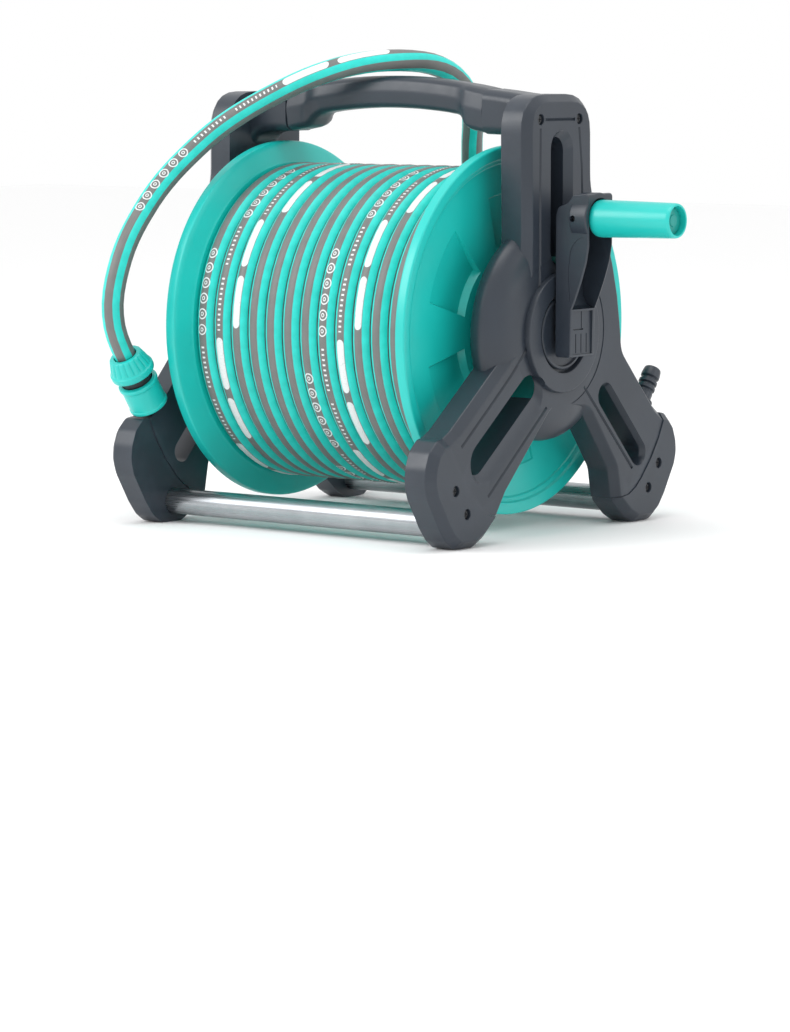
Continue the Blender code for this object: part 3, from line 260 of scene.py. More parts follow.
def knit_pattern(n, around, along):
    """Two crossing families of fine threads under the skin."""
    turns = n.math("MULTIPLY", around, 40.0)
    steps = n.math("MULTIPLY", along, 420.0)
    waves = []
    for sign in ("ADD", "SUBTRACT"):
        phase = n.math("MULTIPLY", n.math(sign, turns, steps), 2 * math.pi)
        waves.append(n.math("SINE", phase))
    return n.ramp(n.math("MAXIMUM", *waves), 0.2, 1.0)


SLATE = plastic("slate_plastic", (0.024, 0.032, 0.045), 0.36)
SLATE_DARK = plastic("slate_dark_plastic", (0.016, 0.020, 0.028), 0.44)
BLACK = plastic("black_plastic", (0.016, 0.018, 0.022), 0.42)
TEAL = plastic("teal_plastic", (0.008, 0.530, 0.480), 0.34, 0.00002, 0.15, 0.05)
TEAL_DARK = plastic("teal_plug_plastic", (0.006, 0.300, 0.265), 0.42, 0.00002, 0.0, 0.05)
RUBBER = plastic("seal_rubber", (0.012, 0.012, 0.013), 0.62)
METAL = brushed_tube("satin_aluminium")
SCREW = screw_steel("dark_screw")
HOSE = hose_material("hose_knit")
LOOKS = {"slate_plastic": SLATE, "black_plastic": BLACK, "teal_plastic": TEAL, "teal_plug": TEAL_DARK,
         "satin_aluminium": METAL, "dark_screw": SCREW, "seal_rubber": RUBBER, "hose_grey": HOSE}
SLOTS = {item["node"]: item["material_slot"] for item in frame["record"]["subparts"]}


def dress(item, look):
    item.data.materials.clear()
    item.data.materials.append(look)


def dress_cad():
    for name, item in NODES.items():
        dress(item, LOOKS[SLOTS[name]])


# ------------------------------------------------------------- mesh helpers
def finish_mesh(name, shape, look=None, sharp=30.0):
    bmesh.ops.recalc_face_normals(shape, faces=shape.faces)
    mesh = bpy.data.meshes.new(name)
    shape.to_mesh(mesh)
    shape.free()
    mesh.shade_smooth()
    mesh.set_sharp_from_angle(angle=math.radians(sharp))
    item = bpy.data.objects.new(name, mesh)
    bpy.context.scene.collection.objects.link(item)
    if look is not None:
        dress(item, look)
    return item


def skin(name, rings, look=None, sharp=30.0):
    """One closed mesh through rings of equal length, with flat ends."""
    shape = bmesh.new()
    loops = [[shape.verts.new(point) for point in ring] for ring in rings]
    shape.faces.new(list(reversed(loops[0])))
    shape.faces.new(loops[-1])
    count = len(loops[0])
    for low, high in zip(loops, loops[1:]):
        for i in range(count):
            j = (i + 1) % count
            shape.faces.new((low[i], low[j], high[j], high[i]))
    return finish_mesh(name, shape, look, sharp)


def lathe(name, profile, steps=48, look=None, sharp=30.0, shape_of=None):
    """Turn a closed profile of (x, radius) points about X; shape_of may vary the radius by angle."""
    shape = bmesh.new()
    rings = []
    for x, radius in profile:
        if radius < 1e-6:
            rings.append([shape.verts.new((x, 0, 0))])
            continue
        ring = []
        for i in range(steps):
            angle = 2 * math.pi * i / steps
            r = radius if shape_of is None else shape_of(x, radius, angle)
            ring.append(shape.verts.new((x, r * math.cos(angle), r * math.sin(angle))))
        rings.append(ring)
    for here, after in zip(rings, rings[1:] + rings[:1]):
        count = max(len(here), len(after))
        if count == 1:
            continue
        for i in range(count):
            j = (i + 1) % count
            corners = [here[0]] if len(here) == 1 else [here[i], here[j]]
            corners += [after[0]] if len(after) == 1 else [after[j], after[i]]
            shape.faces.new(corners)
    return finish_mesh(name, shape, look, sharp)


def arc(centre, radius, start, end, steps):
    points = []
    for i in range(steps + 1):
        angle = math.radians(start + (end - start) * i / steps)
        points.append((centre[0] + radius * math.cos(angle), centre[1] + radius * math.sin(angle)))
    return points


def anticlockwise(points):
    area = sum(a[0] * b[1] - b[0] * a[1] for a, b in zip(points, points[1:] + points[:1]))
    return points if area > 0 else list(reversed(points))


def soften(corners, steps=6):
    """Round the corners (y, z, radius) of a closed outline."""
    outline = []
    count = len(corners)
    for i, (y, z, radius) in enumerate(corners):
        here = Vector((y, z))
        back = Vector(corners[i - 1][:2]) - here
        ahead = Vector(corners[(i + 1) % count][:2]) - here
        bend = math.pi - back.angle(ahead)
        reach = min(radius * math.tan(bend / 2), back.length * 0.49, ahead.length * 0.49)
        if reach < 1e-5:
            outline.append((y, z))
            continue
        first = here + back.normalized() * reach
        last = here + ahead.normalized() * reach
        for k in range(steps + 1):
            t = k / steps
            outline.append(tuple(first * (1 - t) ** 2 + here * 2 * t * (1 - t) + last * t ** 2))
    return tidy(outline)


def tidy(points, least=0.0004):
    kept = []
    for point in points:
        if not kept or (Vector(point) - Vector(kept[-1])).length > least:
            kept.append(point)
    return kept


def inset(points, distance):
    """Move every side of an anticlockwise outline inwards."""
    moved = []
    count = len(points)
    for i in range(count):
        here = Vector(points[i])
        first = (here - Vector(points[i - 1])).normalized()
        second = (Vector(points[(i + 1) % count]) - here).normalized()
        normal = Vector((-first.y - second.y, first.x + second.x))
        share = 1.0 + first.dot(second)
        moved.append(tuple(here + normal * (distance / max(share, 0.3))))
    return moved


def prism(name, outline, x_low, x_high, edge=(), look=None):
    """An outline in Y and Z, extruded along X; edge lists (depth, inset) steps up to its outer face."""
    outline = anticlockwise(outline)
    rings = [[(x_low, y, z) for y, z in outline]]
    for depth, shrink in edge:
        rings.append([(x_high - depth, y, z) for y, z in inset(outline, shrink)])
    if not edge:
        rings.append([(x_high, y, z) for y, z in outline])
    return skin(name, rings, look)


def boolean(item, tools, operation="DIFFERENCE"):
    """Cut or add each tool, one after the other, and keep only the result."""
    for other in tools:
        step = item.modifiers.new("step", "BOOLEAN")
        step.operation = operation
        step.object = other
        step.solver = "EXACT"
    graph = bpy.context.evaluated_depsgraph_get()
    mesh = bpy.data.meshes.new_from_object(item.evaluated_get(graph))
    item.modifiers.clear()
    item.data = mesh
    for other in tools:
        bpy.data.objects.remove(other, do_unlink=True)
    return item


def settle(item, sharp=30.0):
    """Clean shading on a cut shape: sharp where faces meet sharply, flat faces kept flat."""
    shape = bmesh.new()
    shape.from_mesh(item.data)
    bmesh.ops.remove_doubles(shape, verts=shape.verts, dist=0.00002)
    bmesh.ops.dissolve_degenerate(shape, edges=shape.edges, dist=0.00002)
    shape.to_mesh(item.data)
    shape.free()
    item.data.shade_smooth()
    item.data.set_sharp_from_angle(angle=math.radians(sharp))
    weighted = item.modifiers.new("weighted", "WEIGHTED_NORMAL")
    weighted.keep_sharp = True
    return item


def place(item, matrix):
    item.data.transform(matrix)
    return item


def piece(item, body, slot, look, *nodes):
    dress(item, look)
    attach(item, body)
    if nodes:
        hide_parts(*nodes)
    return item


def copy_of(item, name, matrix):
    other = bpy.data.objects.new(name, item.data.copy())
    bpy.context.scene.collection.objects.link(other)
    for step in item.modifiers:
        again = other.modifiers.new(step.name, step.type)
        if step.type == "WEIGHTED_NORMAL":
            again.keep_sharp = True
    other.data.transform(matrix)
    return other


TO_ROW = Matrix.Translation((SHIFT, 0, 0))
HALF_TURN = Matrix.Rotation(math.pi, 4, "Z")
AT_AXLE = Matrix.Translation((0, 0, AXLE_Z))


# ------------------------------------------------------------------- frames
FACE_X = 0.203
INNER_X = 0.171
WALL = 0.0035
LOW = (-1, 38.0)
STEEP = (1, 47.0)
EDGE = ((0.0088, 0.0), (0.0079, 0.0002), (0.0071, 0.0008), (0.0016, 0.0063), (0.0008, 0.0070),
        (0.0002, 0.0078), (0.0, 0.0090))
FOOT = ((0.1800, 0.1080, 0.006), (0.1900, 0.1065, 0.010), (0.2015, 0.0960, 0.016), (0.2075, 0.0810, 0.03),
        (0.2090, 0.0665, 0.03), (0.2050, 0.0520, 0.03), (0.1865, 0.0220, 0.03), (0.1755, 0.0085, 0.02),
        (0.1640, 0.0010, 0.01), (0.1560, 0.0, 0.008), (0.1340, 0.0, 0.010), (0.1180, 0.0080, 0.02),
        (0.0985, 0.0245, 0.012))
SEAM = ((0.0850, 0.0262), (0.1000, 0.0275), (0.1180, 0.0300), (0.1300, 0.0365), (0.1400, 0.0450),
        (0.1570, 0.0640), (0.1700, 0.0830), (0.1790, 0.1010), (0.1880, 0.1210))


def leg_point(leg, along, above):
    side, angle = leg
    slope = math.radians(angle)
    return (side * (along * math.cos(slope) + above * math.sin(slope)),
            AXLE_Z - along * math.sin(slope) + above * math.cos(slope))


def frame_outline():
    corners = [(0.056, 0.4307, 0.038), (-0.056, 0.4307, 0.038), (-0.054, 0.300, 0.1), (-0.056, 0.239, 0.05),
               (*leg_point(LOW, 0.060, 0.037), 0.03), (*leg_point(LOW, 0.184, 0.037), 0.012)]
    corners += [(-y, z, r) for y, z, r in FOOT]
    corners += [(-0.0840, 0.0460, 0.02), (-0.0080, 0.1225, 0.022), (0.0460, 0.1180, 0.018),
                (*leg_point(STEEP, 0.166, -0.029), 0.02)]
    corners += reversed(FOOT)
    corners += [(*leg_point(STEEP, 0.176, 0.067), 0.012), (0.1120, 0.1771, 0.02), (0.1085, 0.2050, 0.04),
                (0.1040, 0.2320, 0.06), (0.0960, 0.2620, 0.06), (0.0840, 0.2960, 0.05),
                (0.0570, 0.3350, 0.06)]
    return anticlockwise(soften(corners))


def slot_ring(leg, near, far, low, high, x):
    """A round-ended slot along a leg, between two heights above the leg's line through the axle."""
    half = (high - low) / 2
    points = []
    for end, turn in ((far - half, -90), (near + half, 90)):
        for i in range(13):
            swing = math.radians(turn + 15 * i)
            rise = (low + high) / 2 + half * math.sin(swing)
            points.append(leg_point(leg, end + half * math.cos(swing), rise))
    return [(x, y, z) for y, z in points]


def leg_slot(leg, near, far, low, high, bevel_low, bevel_high, depth=0.0055):
    inner = FACE_X - depth
    rings = [slot_ring(leg, near, far, low, high, INNER_X - 0.02), slot_ring(leg, near, far, low, high,
                                                                             inner),
             slot_ring(leg, near - 0.001, far + 0.003, low - bevel_low, high + bevel_high, FACE_X + 0.0001),
             slot_ring(leg, near - 0.001, far + 0.003, low - bevel_low, high + bevel_high, FACE_X + 0.02)]
    return skin("slot_tool", rings)


def upright_ring(left, right, low, high, x):
    half = (right - left) / 2
    middle = (right + left) / 2
    points = arc((middle, high - half), half, 0, 180, 12) + arc((middle, low + half), half, 180, 360, 12)
    return [(x, y, z) for y, z in points]


def upright_slot():
    floor = FACE_X - 0.020
    rings = [upright_ring(-0.0165, 0.0105, 0.262, 0.3895, floor),
             upright_ring(-0.0165, 0.0105, 0.262, 0.3895, FACE_X - 0.0055),
             upright_ring(-0.0175, 0.0200, 0.262, 0.3965, FACE_X + 0.0001),
             upright_ring(-0.0175, 0.0200, 0.262, 0.3965, FACE_X + 0.02)]
    return skin("slot_tool", rings)


def groove(path, half=0.0017, depth=0.0018, x=FACE_X):
    """A V-shaped groove in the outer face, along a path in Y and Z."""
    out = 0.001
    wide = half * (depth + out) / depth
    points = [Vector(p) for p in path]
    rings = []
    for i, here in enumerate(points):
        before = (here - points[i - 1]).normalized() if i else None
        after = (points[i + 1] - here).normalized() if i + 1 < len(points) else None
        run = (before or after) + (after or before)
        run.normalize()
        side = Vector((-run.y, run.x)) * wide
        rings.append([(x + out, here.x - side.x, here.y - side.y),
                      (x + out, here.x + side.x, here.y + side.y),
                      (x - depth, here.x, here.y)])
    return skin("groove_tool", rings)


def curve2(points, steps=6):
    """Points on a smooth open curve through the given ones, in Y and Z."""
    fine = []
    for i in range(len(points) - 1):
        p0, p1 = Vector(points[max(i - 1, 0)]), Vector(points[i])
        p2, p3 = Vector(points[i + 1]), Vector(points[min(i + 2, len(points) - 1)])
        for step in range(steps):
            t = step / steps
            fine.append(0.5 * (2 * p1 + (p2 - p0) * t + (2 * p0 - 5 * p1 + 4 * p2 - p3) * t * t
                               + (3 * p1 - p0 - 3 * p2 + p3) * t ** 3))
    fine.append(Vector(points[-1]))
    return [tuple(p) for p in fine]


def frame_grooves():
    left = [(-0.0340, 0.3980), (-0.0345, 0.3290), (-0.0345, 0.2560), (-0.0400, 0.2180), (-0.0540, 0.1900),
            (-0.0720, 0.1700), (-0.0990, 0.1470), (-0.1600, 0.0985)]
    paths = [curve2(left), [(0.0300, 0.3985), (0.0345, 0.3600), (0.0370, 0.2900)],
             [(-0.0262, 0.4063), (0.0228, 0.4063)],
             [leg_point(LOW, 0.062, -0.0430), leg_point(LOW, 0.186, -0.0470)],
             [leg_point(STEEP, 0.068, -0.0085), leg_point(STEEP, 0.190, -0.0065)]]
    return [groove(path) for path in paths]


def hub_dome():
    """The domed housing round the axle, its flat boss and the recess that the crank's hub turns in."""
    boss = FACE_X + 0.006
    bearing = 0.0148
    profile = [(0.156, bearing), (0.156, bearing + 0.006), (FACE_X - 0.006, bearing + 0.006),
               (FACE_X - 0.006, 0.076), (0.1950, 0.0905), (0.1890, 0.0995), (0.1815, 0.1030),
               (0.1755, 0.1015),
               (0.1690, 0.0965), (0.1632, 0.0885), (0.1590, 0.0785), (0.1568, 0.0775), (0.1560, 0.0790),
               (0.1565, 0.0815), (0.1590, 0.0870), (0.1625, 0.0927), (0.1680, 0.0998), (0.1720, 0.1034),
               (0.1770, 0.1062), (0.1820, 0.1071), (0.1870, 0.1057), (0.1920, 0.1015), (0.1965, 0.0950),
               (0.2000, 0.0870), (0.2020, 0.0780), (0.2030, 0.0680), (0.2030, 0.0592),
               (boss - 0.0016, 0.0586),
               (boss - 0.0006, 0.0580), (boss, 0.0568), (boss, 0.0405), (boss - 0.0005, 0.0396),
               (boss - 0.0015, 0.0392), (FACE_X - 0.0005, 0.0388), (FACE_X - 0.0005, 0.0362),
               (FACE_X + 0.0035, 0.0358), (FACE_X + 0.0043, 0.0350), (FACE_X + 0.0043, 0.0330),
               (FACE_X + 0.0020, 0.0322), (FACE_X + 0.0020, bearing)]
    return place(lathe("dome_tool", profile, 96), AT_AXLE)


def rib_tools():
    """Stiffening ribs kept behind the face, crossing in the feet (see the fault in whole_frame)."""
    ribs = []
    low = INNER_X + 0.002
    for i in range(3):
        level = AXLE_Z + 0.115 + i * 0.045
        ribs.append(box("rib", (low, -0.1, level), (FACE_X, 0.1, level + 0.003)))
    for leg in (LOW, STEEP):
        for i in range(3):
            along = 0.105 + i * 0.036
            ribs.append(rib_between(leg_point(leg, along, -0.09), leg_point(leg, along, 0.09)))
        side = leg[0]
        for start, end in (((0.1180, 0.0600), (0.2200, 0.0120)), ((0.1900, 0.1100), (0.1500, -0.010)),
                           ((0.1250, 0.0850), (0.2200, 0.0700))):
            ribs.append(rib_between((side * start[0], start[1]), (side * end[0], end[1]), low + 0.004))
    return ribs


def box(name, low, high):
    corners = [(low[1], low[2]), (high[1], low[2]), (high[1], high[2]), (low[1], high[2])]
    return prism(name, corners, low[0], high[0])


def rib_between(start, end, x_low=INNER_X + 0.002, thick=0.0028):
    run = (Vector(end) - Vector(start)).normalized()
    side = Vector((-run.y, run.x)) * (thick / 2)
    a, b = Vector(start), Vector(end)
    return prism("rib", [tuple(a - side), tuple(b - side), tuple(b + side), tuple(a + side)], x_low, FACE_X)


def rounded_section(half_y, low, high, radius, steps=6):
    points = arc((half_y - radius, high - radius), radius, 0, 90, steps)
    points += arc((radius - half_y, high - radius), radius, 90, 180, steps)
    points += arc((radius - half_y, low + radius), radius, 180, 270, steps)
    points += arc((half_y - radius, low + radius), radius, 270, 360, steps)
    return points


TUBE_Y, TUBE_Z, TUBE_R = 0.1444, 0.0209, 0.0130
TUBE_END = FACE_X - 0.019
TOP_SCREWS = ((-0.0335, 0.4065), (0.0305, 0.4065))
FOOT_SCREWS = ((0.1700, 0.0575), (0.1520, 0.0340))


def screw_seat(y, z, depth, rim):
    """A cutter for the recess that a screw's head sits in."""
    seat = lathe("seat", [(FACE_X - depth, 0), (FACE_X - depth, 0.0050), (FACE_X - 0.0005, 0.0052),
                          (FACE_X + 0.001, rim), (FACE_X + 0.004, rim), (FACE_X + 0.004, 0)], 24)
    return place(seat, Matrix.Translation((0, y, z)))


# Slots in the legs and the walls left round them: near, far, low and high along each leg.
LOW_SLOT, LOW_WALL = (0.056, 0.189, -0.0240, 0.0045), (0.052, 0.193, -0.0275, 0.0080)
STEEP_SLOT, STEEP_WALL = (0.090, 0.196, -0.0015, 0.0210), (0.086, 0.200, -0.0050, 0.0245)
UPRIGHT_WALL = (-0.0200, 0.0140, 0.258, 0.3930)


def whole_frame():
    outline = frame_outline()
    body = prism("frame_fine", outline, INNER_X, FACE_X, EDGE)
    pocket = prism("pocket", inset(outline, WALL), INNER_X - 0.004, FACE_X - WALL, ((0.008, 0.0),
                                                                                    (0.0, 0.0075)))
    keep = [skin("keep", [slot_ring(LOW, *LOW_WALL, INNER_X - 0.01),
                          slot_ring(LOW, *LOW_WALL, FACE_X)]),
            skin("keep", [slot_ring(STEEP, *STEEP_WALL, INNER_X - 0.01),
                          slot_ring(STEEP, *STEEP_WALL, FACE_X)]),
            skin("keep", [upright_ring(*UPRIGHT_WALL, FACE_X - 0.0235),
                          upright_ring(*UPRIGHT_WALL, FACE_X)])]
    for side in (-1, 1):
        socket = lathe("socket", [(INNER_X - 0.02, 0), (INNER_X - 0.02, TUBE_R + 0.0038),
                                  (FACE_X, TUBE_R + 0.0038), (FACE_X, 0)], 40)
        keep.append(place(socket, Matrix.Translation((0, side * TUBE_Y, TUBE_Z))))
    # Known fault: this cut returns almost nothing of the pocket (14 of 2296 cm3), so the frames and
    # the feet stay filled behind, where they should be open and ribbed.
    boolean(pocket, keep + rib_tools())
    opening = place(lathe("opening", [(INNER_X - 0.02, 0), (INNER_X - 0.02, 0.074), (FACE_X + 0.02, 0.074),
                                      (FACE_X + 0.02, 0)], 60), AT_AXLE)
    boolean(body, [pocket, opening])
    arm_rings = []
    for x, low, high in ((0.1243, 0.3918, 0.4350), (0.1248, 0.3912, 0.4354), (0.140, 0.3908, 0.4340),
                         (0.152, 0.3900, 0.4326), (0.160, 0.3882, 0.4316), (0.166, 0.3850, 0.4310),
                         (0.170, 0.3800, 0.4305), (0.172, 0.3740, 0.4303), (0.180, 0.3740, 0.4295)):
        arm_rings.append([(x, y, z) for y, z in rounded_section(0.024, low, high, 0.011)])
    arm = skin("arm", arm_rings)
    boolean(body, [hub_dome(), arm], "UNION")
    cutters = [leg_slot(LOW, *LOW_SLOT, 0.0130, 0.0006),
               leg_slot(STEEP, *STEEP_SLOT, 0.0006, 0.0035), upright_slot()]
    cutters += frame_grooves()
    for y, z in TOP_SCREWS:
        cutters.append(screw_seat(y, z, 0.0045, 0.0064))
    for side in (-1, 1):
        for y, z in FOOT_SCREWS:
            cutters.append(screw_seat(side * y, z, 0.0040, 0.0062))
        bore = lathe("bore", [(INNER_X - 0.02, 0), (INNER_X - 0.02, TUBE_R + 0.0003),
                              (TUBE_END, TUBE_R + 0.0003),
                              (TUBE_END, 0)], 40)
        cutters.append(place(bore, Matrix.Translation((0, side * TUBE_Y, TUBE_Z))))
    return boolean(body, cutters)


def foot_region(side, gap):
    line = [Vector(p) for p in SEAM]
    moved = []
    for i, here in enumerate(line):
        run = (line[min(i + 1, len(line) - 1)] - line[max(i - 1, 0)]).normalized()
        moved.append((here.x + run.y * gap, here.y - run.x * gap))
    corners = moved + [(0.26, 0.121), (0.26, -0.02), (0.085, -0.02)]
    return prism("region", [(side * y, z) for y, z in corners], 0.10, 0.25)


def build_frames():
    body = whole_frame()
    feet = []
    for side in (-1, 1):
        foot = bpy.data.objects.new("foot", body.data.copy())
        bpy.context.scene.collection.objects.link(foot)
        boolean(foot, [foot_region(side, 0.00015)], "INTERSECT")
        foot.data.transform(Matrix.Translation((0.0012, 0, 0)))
        feet.append((side, settle(foot)))
    boolean(body, [foot_region(-1, -0.00015), foot_region(1, -0.00015)])
    settle(body)
    for place_name, turn in (("right", Matrix()), ("left", HALF_TURN)):
        matrix = TO_ROW @ turn
        item = copy_of(body, "frame_%s_moulding" % place_name, matrix)
        piece(item, "frame", "slate_plastic", SLATE, "frame_" + place_name)
        for side, foot in feet:
            rear = (side == 1) == (place_name == "right")
            name = "foot_%s_%s" % ("rear" if rear else "front", place_name)
            item = copy_of(foot, name + "_cap", matrix)
            piece(item, "frame", "slate_plastic", SLATE, name)
    for item in (body, *(foot for side, foot in feet)):
        bpy.data.objects.remove(item, do_unlink=True)


# --------------------------------------------------------------------- drum
def flange_mesh():
    """One flange, facing +X: rounded rim, lip, dished web with six wedge-shaped pockets, and hub."""
    web = 0.1430
    profile = [(0.124, 0.0905), (0.124, 0.0936), (0.132, 0.0936), (0.132, 0.1600), (0.1335, 0.1630),
               (0.1370, 0.1760), (0.1385, 0.1800), (0.1395, 0.1813), (0.1410, 0.1819), (0.1480, 0.1819),
               (0.1492, 0.1815), (0.1499, 0.1806), (0.1501, 0.1795), (0.1496, 0.1725), (0.1490, 0.1708),
               (0.1478, 0.1700), (0.1466, 0.1694), (0.1460, 0.1684), (0.1456, 0.1660), (0.1448, 0.1650),
               (0.1436, 0.1644), (web, 0.1630), (web, 0.0360), (0.1445, 0.0335), (0.1475, 0.0315),
               (0.1548, 0.0300), (0.1550, 0.0290), (0.1550, 0.0115), (0.102, 0.0115), (0.102, 0.017),
               (0.130, 0.017), (0.130, 0.0905)]
    item = lathe("flange_fine", profile, 144, sharp=24)
    pockets = []
    for number in range(6):
        middle = 149.0 + 60.0 * number
        inner = arc((0, 0), 0.0815, middle - 17.5, middle + 17.5, 8)
        outer = arc((0, 0), 0.1345, middle + 16.5, middle - 16.5, 8)
        floor = [(web - 0.0066, y, z) for y, z in inner] + [(web - 0.0012, y, z) for y, z in outer]
        top = [(web + 0.0001, *p) for p in arc((0, 0), 0.0775, middle - 18.5, middle + 18.5, 8)]
        top += [(web + 0.0001, *p) for p in arc((0, 0), 0.1360, middle + 17.0, middle - 17.0, 8)]
        high = [(web + 0.02, y, z) for x, y, z in top]
        pockets.append(skin("pocket", [floor, top, high]))
    return settle(boolean(item, pockets), 24)


def build_drum():
    item = flange_mesh()
    for side, turn in (("right", Matrix()), ("left", HALF_TURN)):
        other = copy_of(item, "flange_%s_moulding" % side, TO_ROW @ AT_AXLE @ turn)
        piece(other, "drum", "teal_plastic", TEAL, "flange_" + side)
    bpy.data.objects.remove(item, do_unlink=True)


# -------------------------------------------------------------------- crank
PIN_X, PIN_Z = 0.234, 0.3115


def side_prism(name, outline, half, edge=0.0012):
    """An outline in X and Z, extruded along Y with rounded edges."""
    outline = anticlockwise(outline)
    rings = []
    for y, shrink in ((-half, edge), (-half + edge * 0.3, edge * 0.3), (-half + edge, 0.0),
                      (half - edge, 0.0), (half - edge * 0.3, edge * 0.3), (half, edge)):
        rings.append([(x, y, z) for x, z in inset(outline, shrink)])
    return skin(name, rings)


def crank_mesh():
    back = 0.2112
    corners = [(back, 0.1765, 0.003), (0.2290, 0.1765, 0.003), (0.2300, 0.2230, 0.004),
               (0.2345, 0.2330, 0.02),
               (0.2415, 0.2510, 0.04), (0.2475, 0.2700, 0.04), (0.2500, 0.2860, 0.02),
               (0.2500, 0.3360, 0.004),
               (0.2320, 0.3345, 0.008), (0.2250, 0.3260, 0.008), (0.2140, 0.3225, 0.006),
               (back, 0.3140, 0.003)]
    # The booleans below are fragile: with upper corners at the pin's height they left an empty mesh.
    arm = side_prism("crank_fine", soften(corners, 4), 0.0205)
    head = lathe("head", [(0.2290, 0), (0.2290, 0.0225), (0.2298, 0.0240), (0.2312, 0.0248), (0.2480, 0.0250),
                          (0.2492, 0.0245), (0.2498, 0.0235), (0.2498, 0)], 56)
    boolean(arm, [place(head, Matrix.Translation((0, 0, PIN_Z)))], "UNION")
    seat = lathe("seat", [(0.2395, 0), (0.2395, 0.0190), (0.2490, 0.0192), (0.2500, 0.0200), (0.27, 0.0200),
                          (0.27, 0)], 56)
    # The trough narrows and its floor comes forward towards the hub.
    trough = []
    for x, z in ((0.2150, 0.3150), (0.2150, 0.2500), (0.2165, 0.2350), (0.2215, 0.2262), (0.2280, 0.2232)):
        trough.append([(x, -0.0187, z), (x, 0.0187, z), (0.29, 0.0187, z), (0.29, -0.0187, z)])
    pin_hole = place(lathe("pin_hole", [(-0.05, 0), (-0.05, 0.0033), (0.05, 0.0033), (0.05, 0)], 20),
                     Matrix.Translation((PIN_X, 0, PIN_Z)) @ Matrix.Rotation(math.pi / 2, 4, "Z"))
    panel = soften([(0.2285, 0.2285, 0.004), (0.2330, 0.2335, 0.02), (0.2400, 0.2520, 0.03),
                    (0.2455, 0.2700, 0.03),
                    (0.2478, 0.2850, 0.01), (0.2478, 0.2950, 0.004), (0.2370, 0.2925, 0.016),
                    (0.2290, 0.2820, 0.02),
                    (0.2262, 0.2600, 0.02)], 4)
    cuts = [place(seat, Matrix.Translation((0, 0, PIN_Z))), skin("trough", trough), pin_hole]
    for side in (-1, 1):
        ring = [[(x, side * y, z) for x, z in anticlockwise(panel)] for y in (0.0200, 0.03)]
        cuts.append(skin("panel", ring))
    front = 0.2300
    cuts.append(box("cut", (front - 0.0022, -0.0160, 0.1790), (front + 0.01, 0.0160, 0.2212)))
    boolean(arm, cuts)
    for low, high in (((-0.0006, 0.2045), (0.0006, 0.2212)), ((-0.0150, 0.2028), (0.0030, 0.2042)),
                      ((-0.0098, 0.1805), (-0.0086, 0.1990)), ((-0.0010, 0.1805), (0.0002, 0.1990)),
                      ((0.0078, 0.1805), (0.0090, 0.1990))):
        boolean(arm, [box("cut", (front - 0.0040, *low), (front + 0.01, *high))])
    return settle(arm)


def build_crank():
    piece(place(crank_mesh(), TO_ROW), "drum", "slate_plastic", SLATE, "crank_arm", "crank_screw")
    pin = lathe("grip_hinge_pin", [(-0.0200, 0), (-0.0200, 0.0022), (-0.0195, 0.0029), (0.0195, 0.0029),
                                   (0.0200, 0.0022), (0.0200, 0)], 24)
    at_pin = TO_ROW @ Matrix.Translation((PIN_X, 0, PIN_Z))
    place(pin, at_pin @ Matrix.Rotation(math.pi / 2, 4, "Z"))
    piece(pin, "drum", "dark_screw", SCREW, "grip_pin")
    base = 0.0130
    end = base + 0.0930
    profile = [(base, 0.0062), (base, 0.0150), (base + 0.0006, 0.0166), (base + 0.0020, 0.0176),
               (base + 0.0042, 0.0181), (base + 0.0080, 0.0182), (end - 0.0040, 0.0170),
               (end - 0.0016, 0.0167),
               (end - 0.0005, 0.0162), (end, 0.0154), (end, 0.0146), (end - 0.0006, 0.0141),
               (end - 0.0075, 0.0136), (end - 0.0080, 0.0130), (end - 0.0080, 0.0062)]
    grip = place(lathe("grip_moulding", profile, 72), at_pin)
    piece(grip, "grip", "teal_plastic", TEAL, "grip_sleeve")
    inner = end - 0.0080
    plug = [(inner + 0.0003, 0), (inner + 0.0003, 0.0126), (inner + 0.0018, 0.0124), (inner + 0.0022, 0.0116),
            (inner + 0.0022, 0.0060), (inner + 0.0030, 0.0055), (inner + 0.0030, 0)]
    plug = place(lathe("grip_end_plug", plug, 48), at_pin)
    piece(plug, "grip", "teal_plug", TEAL_DARK, "grip_plug")
    dress(NODES["grip_knuckle"], SLATE_DARK)


# --------------------------------------------------------- dock and connector
def dock_matrix():
    across = Vector((1, 0, 0))
    third = DOCK_AXIS.cross(across)
    turn = Matrix((DOCK_AXIS, across, third)).transposed().to_4x4()
    return Matrix.Translation(DOCK) @ turn


def ribbed(x, radius, angle):
    """The fluted cone of the connector's nut."""
    if not 0.0515 < x < 0.0650:
        return radius
    wave = abs(math.sin(angle * 9))
    return radius * (0.945 + 0.055 * wave ** 0.6)


